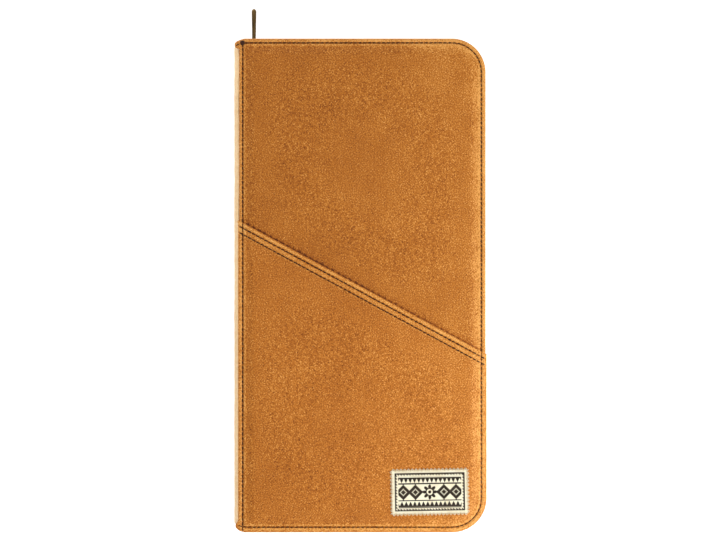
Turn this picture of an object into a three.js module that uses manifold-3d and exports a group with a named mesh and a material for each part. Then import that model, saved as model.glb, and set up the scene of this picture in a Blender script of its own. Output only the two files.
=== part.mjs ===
// Zip-round book case for pens: two padded canvas covers joined by a soft spine, a zip round the
// other three sides, elastic pen loops inside each cover and a padded leaf between them.
//
// Frame: millimetres, +Z up. The closed case lies on its back cover. The origin is the centre of
// the back cover's outer face, +X runs from the spine to the fore edge and +Y from foot to head.

import * as THREE from 'three';
import { mergeVertices } from 'three/addons/utils/BufferGeometryUtils.js';
import Module from 'manifold-3d';

// ------------------------------------------------------------------ driving dimensions

// Whole case
const COVER_WIDTH = 178;
const COVER_HEIGHT = 355;
const CASE_DEPTH = 45;
const FORE_CORNER_RADIUS = 24;
const SPINE_CORNER_RADIUS = 3;
const SMALLEST_RADIUS = 0.6;

// Layers of a cover, from the outside in
const CANVAS_THICKNESS = 1.2;
const FOAM_THICKNESS = 2.4;
const BOARD_THICKNESS = 1.6;
const LINING_THICKNESS = 0.8;
const LAYER_GAP = 0.3;
const FOAM_INSET = 5;

// Slip pocket on the front cover: its mouth slopes from the spine edge down to the fore edge
const POCKET_THICKNESS = 1;
const POCKET_RISE_AT_SPINE = 224;
const POCKET_RISE_AT_FORE_EDGE = 128;

// Sewn label on the pocket
const LABEL_WIDTH = 57;
const LABEL_HEIGHT = 34;
const LABEL_THICKNESS = 0.5;
const LABEL_CENTRE_FROM_FORE_EDGE = 40.2;
const LABEL_CENTRE_FROM_FOOT = 28.5;
const LABEL_TURN = THREE.MathUtils.degToRad(1);

// Spine
const SPINE_BULGE = 3.4;
const SPINE_EDGE_PROUD = 0.5;
const SPINE_BOARD_THICKNESS = 1.2;
const SPINE_END_SETBACK = 6.5;
const HINGE_HEIGHT = 4.5;
const OPEN_FLOOR_CLEARANCE = 0.2;

// Zip: tapes, coils and the canvas strips that they are sewn to
const ZIP_INSET = 7;
const TAPE_THICKNESS = 0.6;
const TAPE_SHOWING = 7.3;
const TAPE_EDGE_FROM_LINING = 1.5;
const GUSSET_THICKNESS = 1;
const COIL_THICKNESS = 2.2;
const COIL_WIDTH = 2.6;
const COIL_SPACING = 1;
const ZIP_FROM_SPINE = 0.4;
const STOP_LENGTH = 1.3;

// Slider, bail and pull
const SLIDER_FROM_SPINE_EDGE = 10.8;
const SLIDER_LENGTH = 9.6;
const SLIDER_WIDE_END = 9;
const SLIDER_NARROW_END = 6.8;
const SLIDER_CORNER = 1.4;
const SLIDER_PLATE = 1;
const SLIDER_CLEARANCE = 0.3;
const SLIDER_WEB_LENGTH = 4;
const SLIDER_WEB_THICKNESS = 0.4;
const PULL_PIN_RADIUS = 0.8;
const PULL_PIN_HEIGHT = 1.6;
const BAIL_CLEARANCE = 0.5;
const BAIL_ARCH = 1.2;
const BAIL_WIDTH = 2;
const PULL_REACH = 24.6;
const PULL_WIDTH = 7;
const PULL_TIP_WIDTH = 5.6;
const PULL_THICKNESS = 2.4;
const PULL_TIP_ROUNDING = 1.8;
const PULL_SLOT_CLEARANCE = 0.4;

// Elastic pen loops: rows of bands sewn down between the pens
const LOOPS_PER_BAND = 10;
const BAND_WIDTH = 18;
const BAND_SIDE_MARGIN = 14;
const BAND_SPACING = 64;
const ELASTIC_THICKNESS = 0.8;
const LOOP_RISE = 3.2;
const LOOP_STEPS = 6;

// Leaf between the pens
const LEAF_INSET = 12;
const LEAF_CORE_THICKNESS = 1.2;
const LEAF_SKIN_THICKNESS = 0.6;
const LEAF_CORE_INSET = 3;
const LEAF_STRIP_WIDTH = 7;
const LEAF_STRIP_THICKNESS = 1;
const LEAF_FROM_SPINE = 1.2;

// Facets in a quarter turn
const CORNER_STEPS = 9;
const SMALL_STEPS = 5;

// ------------------------------------------------------------------ derived places

const halfWidth = COVER_WIDTH / 2;
const halfHeight = COVER_HEIGHT / 2;
const coverThickness =
  CANVAS_THICKNESS + FOAM_THICKNESS + BOARD_THICKNESS + LINING_THICKNESS + 3 * LAYER_GAP;
const pocketFace = CASE_DEPTH - LABEL_THICKNESS - LAYER_GAP;
const frontFace = pocketFace - POCKET_THICKNESS - LAYER_GAP;
const backInner = coverThickness;
const frontInner = frontFace - coverThickness;
const zipMiddle = (backInner + frontInner) / 2;

const spineLow = backInner + LAYER_GAP;
const spineHigh = frontInner - LAYER_GAP;
const spineStack = CANVAS_THICKNESS + SPINE_BOARD_THICKNESS + LINING_THICKNESS + 2 * LAYER_GAP;
const spineOuterMiddle = -halfWidth - SPINE_BULGE;
const spineSagitta = SPINE_BULGE - SPINE_EDGE_PROUD;
const spineHalfChord = (spineHigh - spineLow) / 2;
const spineRadius = (spineHalfChord ** 2 + spineSagitta ** 2) / (2 * spineSagitta);
const spineCentreX = spineOuterMiddle + spineRadius;
const spineInnerAtEnds = spineCentreX - Math.sqrt((spineRadius - spineStack) ** 2 - spineHalfChord ** 2);
const hingeX = spineOuterMiddle + HINGE_HEIGHT - OPEN_FLOOR_CLEARANCE;

const zipStart = spineInnerAtEnds + ZIP_FROM_SPINE;
const coilStart = zipStart + STOP_LENGTH + LAYER_GAP;
const zipLine = halfHeight - ZIP_INSET;
const tapeFaceInset = ZIP_INSET - TAPE_THICKNESS / 2;
const gussetInset = tapeFaceInset - LAYER_GAP - GUSSET_THICKNESS;

const sliderX = -halfWidth + SLIDER_FROM_SPINE_EDGE;
const channelHalf = COIL_THICKNESS / 2 + SLIDER_CLEARANCE;
const sliderOuter = zipLine + channelHalf + SLIDER_PLATE;
const pinY = sliderOuter + PULL_PIN_HEIGHT;
const bailInner = PULL_PIN_RADIUS + BAIL_CLEARANCE;
const bailOuter = bailInner + BAIL_ARCH;

const leafHingeX = spineOuterMiddle + spineStack + LEAF_FROM_SPINE;
const leafBottom = zipMiddle - LEAF_CORE_THICKNESS / 2 - LAYER_GAP - LEAF_SKIN_THICKNESS;

const covers = [
  { name: 'back', face: 0, inner: backInner, inward: 1 },
  { name: 'front', face: frontFace, inner: frontInner, inward: -1 },
];

// ------------------------------------------------------------------ materials

function material(colour, roughness, metalness = 0) {
  return new THREE.MeshStandardMaterial({ color: colour, roughness, metalness });
}

const canvas = material(0xb97336, 0.86);
const paleCanvas = material(0xdcb582, 0.78);
const foam = material(0xd9d2c4, 0.95);
const board = material(0x9a917f, 0.9);
const lining = material(0x6b4a2c, 0.92);
const tape = material(0x9c6a36, 0.85);
const coil = material(0x6e4a26, 0.5);
const elastic = material(0x3a2a1c, 0.9);
const labelCloth = material(0xe9dfbd, 0.85);
const brass = material(0x6e5126, 0.42, 1);

// ------------------------------------------------------------------ solids

const wasm = await Module();
wasm.setup();

function toManifold(geometry) {
  const bare = geometry.clone();
  bare.deleteAttribute('normal');
  bare.deleteAttribute('uv');
  const merged = mergeVertices(bare, 1e-4);
  const vertProperties = new Float32Array(merged.attributes.position.array);
  const triVerts = new Uint32Array(merged.index.array);
  return new wasm.Manifold(new wasm.Mesh({ numProp: 3, vertProperties, triVerts }));
}

function toGeometry(manifold) {
  const { vertProperties, triVerts } = manifold.getMesh();
  const geometry = new THREE.BufferGeometry();
  geometry.setAttribute('position', new THREE.BufferAttribute(new Float32Array(vertProperties), 3));
  geometry.setIndex(new THREE.BufferAttribute(new Uint32Array(triVerts), 1));
  geometry.computeVertexNormals();
  return geometry;
}

function piece(group, name, geometry, look) {
  const mesh = new THREE.Mesh(geometry, look.clone());
  mesh.name = name;
  group.add(mesh);
}

// A flat shape in X and Y, made solid from height a to height b.
function slab(shape, a, b, steps = CORNER_STEPS) {
  const low = Math.min(a, b);
  const depth = Math.abs(b - a);
  const geometry = new THREE.ExtrudeGeometry(shape, { depth, bevelEnabled: false, curveSegments: steps });
  return geometry.translate(0, 0, low);
}

// A shape drawn in X and Z, made solid along Y from low to high.
function lengthwise(shape, low, high, steps) {
  const depth = high - low;
  const geometry = new THREE.ExtrudeGeometry(shape, { depth, bevelEnabled: false, curveSegments: steps });
  return geometry.rotateX(Math.PI / 2).translate(0, high, 0);
}

// ------------------------------------------------------------------ outlines

// The cover's outline, drawn in by inset all round: two wide corners at the fore edge and two
// small ones at the spine edge.
function coverOutline(inset) {
  const left = -halfWidth + inset;
  const right = halfWidth - inset;
  const top = halfHeight - inset;
  const fore = Math.max(FORE_CORNER_RADIUS - inset, SMALLEST_RADIUS);
  const back = Math.max(SPINE_CORNER_RADIUS - inset, SMALLEST_RADIUS);
  const shape = new THREE.Shape();
  shape.moveTo(left + back, -top);
  shape.lineTo(right - fore, -top);
  shape.absarc(right - fore, -top + fore, fore, -Math.PI / 2, 0, false);
  shape.lineTo(right, top - fore);
  shape.absarc(right - fore, top - fore, fore, 0, Math.PI / 2, false);
  shape.lineTo(left + back, top);
  shape.absarc(left + back, top - back, back, Math.PI / 2, Math.PI, false);
  shape.lineTo(left, -top + back);
  shape.absarc(left + back, -top + back, back, Math.PI, 1.5 * Math.PI, false);
  return shape;
}

// The part of the cover's outline below the sloping pocket mouth.
function pocketOutline() {
  const fore = FORE_CORNER_RADIUS;
  const back = SPINE_CORNER_RADIUS;
  const shape = new THREE.Shape();
  shape.moveTo(-halfWidth, -halfHeight + POCKET_RISE_AT_SPINE);
  shape.lineTo(-halfWidth, -halfHeight + back);
  shape.absarc(-halfWidth + back, -halfHeight + back, back, Math.PI, 1.5 * Math.PI, false);
  shape.lineTo(halfWidth - fore, -halfHeight);
  shape.absarc(halfWidth - fore, -halfHeight + fore, fore, -Math.PI / 2, 0, false);
  shape.lineTo(halfWidth, -halfHeight + POCKET_RISE_AT_FORE_EDGE);
  shape.closePath();
  return shape;
}

// A strip that runs along the head, the fore edge and the foot, between two insets from the
// cover's outline, starting at x = start on both sides.
function roundStrip(outerInset, innerInset, start) {
  const centreX = halfWidth - FORE_CORNER_RADIUS;
  const centreY = halfHeight - FORE_CORNER_RADIUS;
  const outer = FORE_CORNER_RADIUS - outerInset;
  const inner = FORE_CORNER_RADIUS - innerInset;
  const shape = new THREE.Shape();
  shape.moveTo(start, -centreY - outer);
  shape.lineTo(centreX, -centreY - outer);
  shape.absarc(centreX, -centreY, outer, -Math.PI / 2, 0, false);
  shape.lineTo(centreX + outer, centreY);
  shape.absarc(centreX, centreY, outer, 0, Math.PI / 2, false);
  shape.lineTo(start, centreY + outer);
  shape.lineTo(start, centreY + inner);
  shape.lineTo(centreX, centreY + inner);
  shape.absarc(centreX, centreY, inner, Math.PI / 2, 0, true);
  shape.lineTo(centreX + inner, -centreY);
  shape.absarc(centreX, -centreY, inner, 0, -Math.PI / 2, true);
  shape.lineTo(start, -centreY - inner);
  shape.closePath();
  return shape;
}

function rectangle(left, low, right, high) {
  const shape = new THREE.Shape();
  shape.moveTo(left, low);
  shape.lineTo(right, low);
  shape.lineTo(right, high);
  shape.lineTo(left, high);
  shape.closePath();
  return shape;
}

// ------------------------------------------------------------------ covers

// Canvas tray: the outer face with its edge turned in round the board.
function canvasTray(cover) {
  const { face, inner, inward } = cover;
  const whole = toManifold(slab(coverOutline(0), face, inner));
  const floor = face + inward * CANVAS_THICKNESS;
  const hollow = toManifold(slab(coverOutline(CANVAS_THICKNESS), floor, inner + inward));
  return toGeometry(whole.subtract(hollow));
}

function addCover(group, cover) {
  const { name, face, inward } = cover;
  const depth = (d) => face + inward * d;
  const layerInset = CANVAS_THICKNESS + LAYER_GAP;
  const foamNear = CANVAS_THICKNESS + LAYER_GAP;
  const foamFar = foamNear + FOAM_THICKNESS;
  const boardNear = foamFar + LAYER_GAP;
  const boardFar = boardNear + BOARD_THICKNESS;
  const liningNear = boardFar + LAYER_GAP;
  piece(group, `${name}_canvas`, canvasTray(cover), canvas);
  piece(group, `${name}_foam`, slab(coverOutline(FOAM_INSET), depth(foamNear), depth(foamFar)), foam);
  piece(group, `${name}_board`, slab(coverOutline(layerInset), depth(boardNear), depth(boardFar)), board);
  piece(group, `${name}_lining`, slab(coverOutline(layerInset), depth(liningNear), cover.inner), lining);
}

// ------------------------------------------------------------------ zip

// The canvas strip, the tape and the coil of one cover, and a stop at each end of the coil.
function addZipSide(group, cover) {
  const { name, inner, inward } = cover;
  const gussetTop = zipMiddle - inward * TAPE_SHOWING;
  const coilNear = zipMiddle - inward * (COIL_SPACING / 2 + COIL_WIDTH);
  const coilFar = zipMiddle - (inward * COIL_SPACING) / 2;
  const gusset = roundStrip(gussetInset, gussetInset + GUSSET_THICKNESS, zipStart);
  const band = roundStrip(tapeFaceInset, tapeFaceInset + TAPE_THICKNESS, zipStart);
  const coilInset = ZIP_INSET - COIL_THICKNESS / 2;
  const teeth = roundStrip(coilInset, coilInset + COIL_THICKNESS, coilStart);
  const tapeEdge = inner + inward * (LAYER_GAP + TAPE_EDGE_FROM_LINING);
  piece(group, `${name}_gusset`, slab(gusset, inner + inward * LAYER_GAP, gussetTop), canvas);
  piece(group, `${name}_zip_tape`, slab(band, tapeEdge, coilNear - inward * LAYER_GAP), tape);
  piece(group, `${name}_zip_coil`, slab(teeth, coilNear, coilFar), coil);
  for (const [end, y] of [['head', zipLine], ['foot', -zipLine]]) {
    const low = y - COIL_THICKNESS / 2;
    const stop = rectangle(zipStart, low, zipStart + STOP_LENGTH, low + COIL_THICKNESS);
    piece(group, `${name}_zip_stop_${end}`, slab(stop, coilNear, coilFar), brass);
  }
}

// One plate of the slider in X and Z: wide where the two coils part, narrow behind.
function sliderPlate() {
  const half = SLIDER_LENGTH / 2;
  const wide = SLIDER_WIDE_END / 2;
  const narrow = SLIDER_NARROW_END / 2;
  const c = SLIDER_CORNER;
  const shape = new THREE.Shape();
  shape.moveTo(-half + c, -wide);
  shape.lineTo(half - c, -narrow);
  shape.quadraticCurveTo(half, -narrow, half, -narrow + c);
  shape.lineTo(half, narrow - c);
  shape.quadraticCurveTo(half, narrow, half - c, narrow);
  shape.lineTo(-half + c, wide);
  shape.quadraticCurveTo(-half, wide, -half, wide - c);
  shape.lineTo(-half, -wide + c);
  shape.quadraticCurveTo(-half, -wide, -half + c, -wide);
  return shape;
}

// Arch that holds the pull's pin: a half ring round the pin with straight legs to the plate.
function bailShape() {
  const foot = -PULL_PIN_HEIGHT - SLIDER_PLATE / 2;
  const shape = new THREE.Shape();
  shape.moveTo(bailOuter, foot);
  shape.lineTo(bailOuter, 0);
  shape.absarc(0, 0, bailOuter, 0, Math.PI, false);
  shape.lineTo(-bailOuter, foot);
  shape.lineTo(-bailInner, foot);
  shape.lineTo(-bailInner, 0);
  shape.absarc(0, 0, bailInner, Math.PI, 0, true);
  shape.lineTo(bailInner, foot);
  shape.closePath();
  return shape;
}

function sliderBody() {
  const plate = sliderPlate();
  const near = zipLine - channelHalf;
  const far = zipLine + channelHalf;
  const inner = lengthwise(plate, near - SLIDER_PLATE, near, SMALL_STEPS).translate(sliderX, 0, zipMiddle);
  const outer = lengthwise(plate, far, far + SLIDER_PLATE, SMALL_STEPS).translate(sliderX, 0, zipMiddle);
  const halfWeb = SLIDER_WEB_THICKNESS / 2;
  const webLeft = sliderX - SLIDER_LENGTH / 2 + SLIDER_CORNER / 2;
  const webPlan = rectangle(webLeft, near - SLIDER_PLATE / 2, webLeft + SLIDER_WEB_LENGTH, far + SLIDER_PLATE / 2);
  const web = slab(webPlan, zipMiddle - halfWeb, zipMiddle + halfWeb);
  const arch = slab(bailShape(), -BAIL_WIDTH / 2, BAIL_WIDTH / 2, SMALL_STEPS).translate(sliderX, pinY, zipMiddle);
  const joined = toManifold(inner).add(toManifold(outer)).add(toManifold(web)).add(toManifold(arch));
  return toGeometry(joined);
}

// Flat tab that stands out from the case along Y, its width along Z and its thickness along X.
function pullTab() {
  const root = PULL_WIDTH / 2;
  const tip = PULL_TIP_WIDTH / 2;
  const end = PULL_REACH;
  const r = PULL_TIP_ROUNDING;
  const tab = new THREE.Shape();
  tab.moveTo(0, -root);
  tab.lineTo(end - r, -tip);
  tab.quadraticCurveTo(end, -tip, end, -tip + r);
  tab.lineTo(end, tip - r);
  tab.quadraticCurveTo(end, tip, end - r, tip);
  tab.lineTo(0, root);
  tab.closePath();
  const upright = new THREE.Matrix4().makeBasis(
    new THREE.Vector3(0, 1, 0),
    new THREE.Vector3(0, 0, 1),
    new THREE.Vector3(1, 0, 0),
  );
  const flat = new THREE.ExtrudeGeometry(tab, {
    depth: PULL_THICKNESS,
    bevelEnabled: false,
    curveSegments: SMALL_STEPS,
  });
  flat.translate(0, 0, -PULL_THICKNESS / 2).applyMatrix4(upright);
  const roundRoot = new THREE.CylinderGeometry(PULL_THICKNESS / 2, PULL_THICKNESS / 2, PULL_WIDTH, 20);
  roundRoot.rotateX(Math.PI / 2);
  const slotHalf = BAIL_WIDTH / 2 + PULL_SLOT_CLEARANCE;
  const slotEnd = bailOuter + PULL_SLOT_CLEARANCE;
  const slotPlan = rectangle(-PULL_THICKNESS, -PULL_THICKNESS, PULL_THICKNESS, slotEnd);
  const slot = slab(slotPlan, -slotHalf, slotHalf);
  const pin = new THREE.CylinderGeometry(PULL_PIN_RADIUS, PULL_PIN_RADIUS, PULL_WIDTH - 1, 12);
  pin.rotateX(Math.PI / 2);
  const rails = toManifold(flat).add(toManifold(roundRoot)).subtract(toManifold(slot));
  return toGeometry(rails.add(toManifold(pin))).translate(sliderX, pinY, zipMiddle);
}

// ------------------------------------------------------------------ spine

// One layer of the spine: an arc that bulges away from the case, between two depths from the
// outer face, cut level at the bottom and the top.
function spineLayer(near, far) {
  const centreZ = (spineLow + spineHigh) / 2;
  const outer = spineRadius - near;
  const inner = spineRadius - far;
  const outerTurn = Math.asin(spineHalfChord / outer);
  const innerTurn = Math.asin(spineHalfChord / inner);
  const shape = new THREE.Shape();
  shape.absarc(spineCentreX, centreZ, outer, Math.PI - outerTurn, Math.PI + outerTurn, false);
  shape.absarc(spineCentreX, centreZ, inner, Math.PI + innerTurn, Math.PI - innerTurn, true);
  shape.closePath();
  const reach = halfHeight - SPINE_END_SETBACK;
  return lengthwise(shape, -reach, reach, SMALL_STEPS * 2);
}

function addSpine(group) {
  const boardNear = CANVAS_THICKNESS + LAYER_GAP;
  const boardFar = boardNear + SPINE_BOARD_THICKNESS;
  const liningNear = boardFar + LAYER_GAP;
  piece(group, 'spine_canvas', spineLayer(0, CANVAS_THICKNESS), paleCanvas);
  piece(group, 'spine_board', spineLayer(boardNear, boardFar), board);
  piece(group, 'spine_lining', spineLayer(liningNear, spineStack), lining);
}

// ------------------------------------------------------------------ pen loops

// Profile of a band in X and Z, measured from the lining's face: it is sewn down between the
// pens and rises by a squared sine over each loop.
function bandProfile(inward) {
  const length = COVER_WIDTH - 2 * BAND_SIDE_MARGIN;
  const count = LOOPS_PER_BAND * LOOP_STEPS;
  const under = [];
  for (let i = 0; i <= count; i += 1) {
    const rise = LOOP_RISE * Math.sin((Math.PI * i) / LOOP_STEPS) ** 2;
    under.push(new THREE.Vector2(-length / 2 + (length * i) / count, inward * (LAYER_GAP + rise)));
  }
  const over = under.map((p) => new THREE.Vector2(p.x, p.y + inward * ELASTIC_THICKNESS)).reverse();
  return new THREE.Shape([...under, ...over]);
}

function addLoops(group, cover) {
  const profile = bandProfile(cover.inward);
  const rowCentre = halfHeight / 2 - ZIP_INSET / 2;
  let number = 0;
  for (const row of [rowCentre, -rowCentre]) {
    for (const side of [1, -1]) {
      number += 1;
      const middle = row + (side * BAND_SPACING) / 2;
      const band = lengthwise(profile, middle - BAND_WIDTH / 2, middle + BAND_WIDTH / 2, SMALL_STEPS);
      piece(group, `${cover.name}_loop_band_${number}`, band.translate(0, 0, cover.inner), elastic);
    }
  }
}

// ------------------------------------------------------------------ leaf

function leafOutline(inset) {
  const left = leafHingeX + LEAF_STRIP_WIDTH + LAYER_GAP + inset;
  const right = halfWidth - LEAF_INSET - inset;
  const top = halfHeight - LEAF_INSET - inset;
  const r = Math.max(FORE_CORNER_RADIUS - LEAF_INSET - inset, SMALLEST_RADIUS);
  const shape = new THREE.Shape();
  shape.moveTo(left, -top);
  shape.lineTo(right - r, -top);
  shape.absarc(right - r, -top + r, r, -Math.PI / 2, 0, false);
  shape.lineTo(right, top - r);
  shape.absarc(right - r, top - r, r, 0, Math.PI / 2, false);
  shape.lineTo(left, top);
  shape.closePath();
  return shape;
}

function addLeaf(group) {
  const coreLow = leafBottom + LEAF_SKIN_THICKNESS + LAYER_GAP;
  const coreHigh = coreLow + LEAF_CORE_THICKNESS;
  const skinHigh = coreHigh + LAYER_GAP + LEAF_SKIN_THICKNESS;
  const stripReach = halfHeight - LEAF_INSET;
  const strip = rectangle(leafHingeX, -stripReach, leafHingeX + LEAF_STRIP_WIDTH, stripReach);
  const halfStrip = LEAF_STRIP_THICKNESS / 2;
  piece(group, 'leaf_hinge_strip', slab(strip, zipMiddle - halfStrip, zipMiddle + halfStrip), lining);
  piece(group, 'leaf_skin_back', slab(leafOutline(0), leafBottom, leafBottom + LEAF_SKIN_THICKNESS), lining);
  piece(group, 'leaf_core', slab(leafOutline(LEAF_CORE_INSET), coreLow, coreHigh), board);
  piece(group, 'leaf_skin_front', slab(leafOutline(0), coreHigh + LAYER_GAP, skinHigh), lining);
}

// ------------------------------------------------------------------ front trim

function addPocketAndLabel(group) {
  const pocket = slab(pocketOutline(), pocketFace - POCKET_THICKNESS, pocketFace);
  const patch = rectangle(-LABEL_WIDTH / 2, -LABEL_HEIGHT / 2, LABEL_WIDTH / 2, LABEL_HEIGHT / 2);
  const label = slab(patch, CASE_DEPTH - LABEL_THICKNESS, CASE_DEPTH);
  label.rotateZ(LABEL_TURN);
  label.translate(halfWidth - LABEL_CENTRE_FROM_FORE_EDGE, -halfHeight + LABEL_CENTRE_FROM_FOOT, 0);
  piece(group, 'front_pocket_panel', pocket, canvas);
  piece(group, 'front_label', label, labelCloth);
}

// ------------------------------------------------------------------ assembly

const penCase = new THREE.Group();
const halves = covers.map((cover) => {
  const half = new THREE.Group();
  addCover(half, cover);
  addZipSide(half, cover);
  addLoops(half, cover);
  penCase.add(half);
  return half;
});
addPocketAndLabel(halves[1]);

const spine = new THREE.Group();
addSpine(spine);
penCase.add(spine);

const leaf = new THREE.Group();
addLeaf(leaf);
penCase.add(leaf);

const slider = new THREE.Group();
piece(slider, 'zip_slider_body', sliderBody(), brass);
piece(slider, 'zip_pull_tab', pullTab(), brass);
penCase.add(slider);

export default penCase;
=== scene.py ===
import math

import bmesh
import bpy
import numpy as np
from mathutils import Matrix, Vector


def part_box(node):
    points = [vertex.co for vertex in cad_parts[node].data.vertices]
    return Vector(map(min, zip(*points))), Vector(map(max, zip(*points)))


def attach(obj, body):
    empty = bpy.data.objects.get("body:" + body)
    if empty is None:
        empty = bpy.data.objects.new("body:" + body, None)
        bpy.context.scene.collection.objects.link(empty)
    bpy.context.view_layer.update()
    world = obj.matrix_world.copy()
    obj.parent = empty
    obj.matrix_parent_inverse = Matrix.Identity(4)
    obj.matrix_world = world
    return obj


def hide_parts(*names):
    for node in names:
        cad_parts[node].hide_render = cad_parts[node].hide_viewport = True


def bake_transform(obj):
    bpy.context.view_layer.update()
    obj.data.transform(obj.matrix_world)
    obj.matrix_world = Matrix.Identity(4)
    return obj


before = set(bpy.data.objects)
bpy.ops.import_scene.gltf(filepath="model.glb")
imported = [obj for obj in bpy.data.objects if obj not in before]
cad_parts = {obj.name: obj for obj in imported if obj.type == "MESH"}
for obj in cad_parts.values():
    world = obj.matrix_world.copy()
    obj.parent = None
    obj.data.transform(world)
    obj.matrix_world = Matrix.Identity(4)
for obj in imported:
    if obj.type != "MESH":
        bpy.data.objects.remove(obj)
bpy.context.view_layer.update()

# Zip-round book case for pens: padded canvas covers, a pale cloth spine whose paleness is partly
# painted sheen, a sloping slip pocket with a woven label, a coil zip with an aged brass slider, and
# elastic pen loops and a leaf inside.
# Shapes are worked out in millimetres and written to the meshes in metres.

MM = 0.001
WELD = 1e-6


def box_mm(node):
    """Lowest and highest corner of a CAD node, in millimetres."""
    low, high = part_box(node)
    return np.array(low) / MM, np.array(high) / MM


# ------------------------------------------------------------------ places read from the frame

front_low, front_high = box_mm("front_canvas")
back_high = box_mm("back_canvas")[1]
label_low, label_high = box_mm("front_label")
spine_low, spine_high = box_mm("spine_canvas")
gusset_low, gusset_high = box_mm("back_gusset")
tape_low, tape_high = box_mm("back_zip_tape")
coil_low, coil_high = box_mm("back_zip_coil")
leaf_low, leaf_high = box_mm("leaf_skin_back")
leaf_front_low, leaf_front_high = box_mm("leaf_skin_front")
lining_low, lining_high = box_mm("spine_lining")
board_low, board_high = box_mm("spine_board")

HALF_WIDTH = front_high[0]
HALF_HEIGHT = front_high[1]
FRONT_FACE = front_high[2]
FRONT_INNER = front_low[2]
BACK_INNER = back_high[2]
ZIP_MIDDLE = (BACK_INNER + FRONT_INNER) / 2
CASE_TOP = label_high[2]

# ------------------------------------------------------------------ sizes of the looks, mm

FORE_RADIUS = 24.0
SPINE_RADIUS = 1.8
EDGE_ROLL = 1.0
STITCH_INSET = 3.0
STITCH_PITCH = 3.4
STITCH_LENGTH = 3.2
THREAD_RADIUS = 0.38
SWELL_FRONT = 0.9
SWELL_BACK = 0.5
SEWN_DROP = 1.4
GROOVE_DEPTH = 0.45
GROOVE_WIDTH = 0.75
RIDGE_RISE = 0.28

POCKET_RISE_AT_SPINE = 224.0
POCKET_RISE_AT_FORE_EDGE = 128.0
HEM_ROWS = (3.4, 7.4)
HEM_LAP = 8.4
HEM_LIFT = 1.6
POCKET_LIFT = 0.8
POCKET_PROUD = 0.8
EAR_REACH = 3.0
EAR_DROP = 1.9
EAR_HEAD = 1.02
EAR_FOOT = 0.5
EAR_WAIST = 0.13

mouth_spine_y = -HALF_HEIGHT + POCKET_RISE_AT_SPINE
mouth_fore_y = -HALF_HEIGHT + POCKET_RISE_AT_FORE_EDGE
mouth_slope = (mouth_fore_y - mouth_spine_y) / (2 * HALF_WIDTH)
mouth_cos = 1 / math.hypot(1, mouth_slope)


# ------------------------------------------------------------------ mesh helpers

def grid_quads(rows, cols, close_rows=False, close_cols=False):
    """Quads of a grid of points, numbered row by row; either way may close on itself."""
    r, c = np.meshgrid(
        np.arange(rows if close_rows else rows - 1),
        np.arange(cols if close_cols else cols - 1),
        indexing="ij",
    )
    r2 = (r + 1) % rows
    c2 = (c + 1) % cols
    return np.stack([r * cols + c, r * cols + c2, r2 * cols + c2, r2 * cols + c], -1).reshape(-1, 4)


def new_piece(name, points, quads, attributes=None, uv=None):
    """A mesh object from points in millimetres and quads. Doubled points are merged, which closes
    poles and seams, and the faces are turned outwards."""
    mesh = bpy.data.meshes.new(name)
    points = np.asarray(points, float).reshape(-1, 3)
    mesh.vertices.add(len(points))
    mesh.vertices.foreach_set("co", (points * MM).astype(np.float32).ravel())
    mesh.loops.add(quads.size)
    mesh.loops.foreach_set("vertex_index", quads.astype(np.int32).ravel())
    mesh.polygons.add(len(quads))
    mesh.polygons.foreach_set("loop_start", np.arange(0, quads.size, 4, dtype=np.int32))
    mesh.update(calc_edges=True)
    for key, values in (attributes or {}).items():
        layer = mesh.attributes.new(key, "FLOAT", "POINT")
        layer.data.foreach_set("value", np.asarray(values, np.float32).ravel())
    if uv is not None:
        layer = mesh.uv_layers.new(name="run")
        layer.data.foreach_set("uv", (uv.reshape(-1, 2)[quads.ravel()]).astype(np.float32).ravel())
    tidy = bmesh.new()
    tidy.from_mesh(mesh)
    bmesh.ops.remove_doubles(tidy, verts=tidy.verts, dist=WELD)
    bmesh.ops.recalc_face_normals(tidy, faces=tidy.faces)
    tidy.to_mesh(mesh)
    tidy.free()
    mesh.polygons.foreach_set("use_smooth", np.ones(len(mesh.polygons), bool))
    mesh.update()
    piece = bpy.data.objects.new(name, mesh)
    bpy.context.scene.collection.objects.link(piece)
    return piece


def patch_piece(name, x, y, upper, lower, attributes=None):
    """A closed patch: two grids of heights over the same places, joined round their rim."""
    sheets = [np.stack([x, y, height], -1).reshape(-1, 3) for height in (upper, lower)]
    quads = grid_quads(*x.shape)
    index = np.arange(x.size).reshape(x.shape)
    rim = np.concatenate([index[0, :-1], index[:-1, -1], index[-1, :0:-1], index[:0:-1, 0]])
    after = np.roll(rim, -1)
    wall = np.stack([rim + x.size, after + x.size, after, rim], 1)
    faces = np.concatenate([quads, quads[:, ::-1] + x.size, wall])
    return new_piece(name, np.concatenate(sheets), faces, attributes)


def finish_piece(piece, material, body=None, replaces=()):
    """Gives a piece its material and slot, its body, and the CAD nodes that it stands for."""
    piece.data.materials.clear()
    piece.data.materials.append(material)
    if body:
        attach(piece, body)
    if replaces:
        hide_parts(*replaces)
    return piece


# ------------------------------------------------------------------ outlines and distances

def unit(vectors):
    """Rows of vectors, each brought to length 1."""
    return vectors / np.linalg.norm(vectors, axis=1)[:, None]


def run_along(path):
    """Distance run along a path of points, from 0 at its first point."""
    return np.concatenate([[0], np.cumsum(np.linalg.norm(np.diff(path, axis=0), axis=1))])


def left_of(way):
    """Flat directions turned a quarter turn to the left."""
    return np.stack([-way[:, 1], way[:, 0]], 1)


def arc(centre, radius, start, end, step):
    """Points along an arc, the end left out, about one step apart."""
    count = max(int(abs(end - start) * radius / step), 3)
    turn = start + (end - start) * np.arange(count) / count
    return np.stack([centre[0] + radius * np.cos(turn), centre[1] + radius * np.sin(turn)], 1)


def line(start, end, step):
    """Points along a straight line, the end left out, about one step apart."""
    start, end = np.asarray(start, float), np.asarray(end, float)
    count = max(int(np.linalg.norm(end - start) / step), 1)
    return start + (end - start) * (np.arange(count) / count)[:, None]


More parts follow.
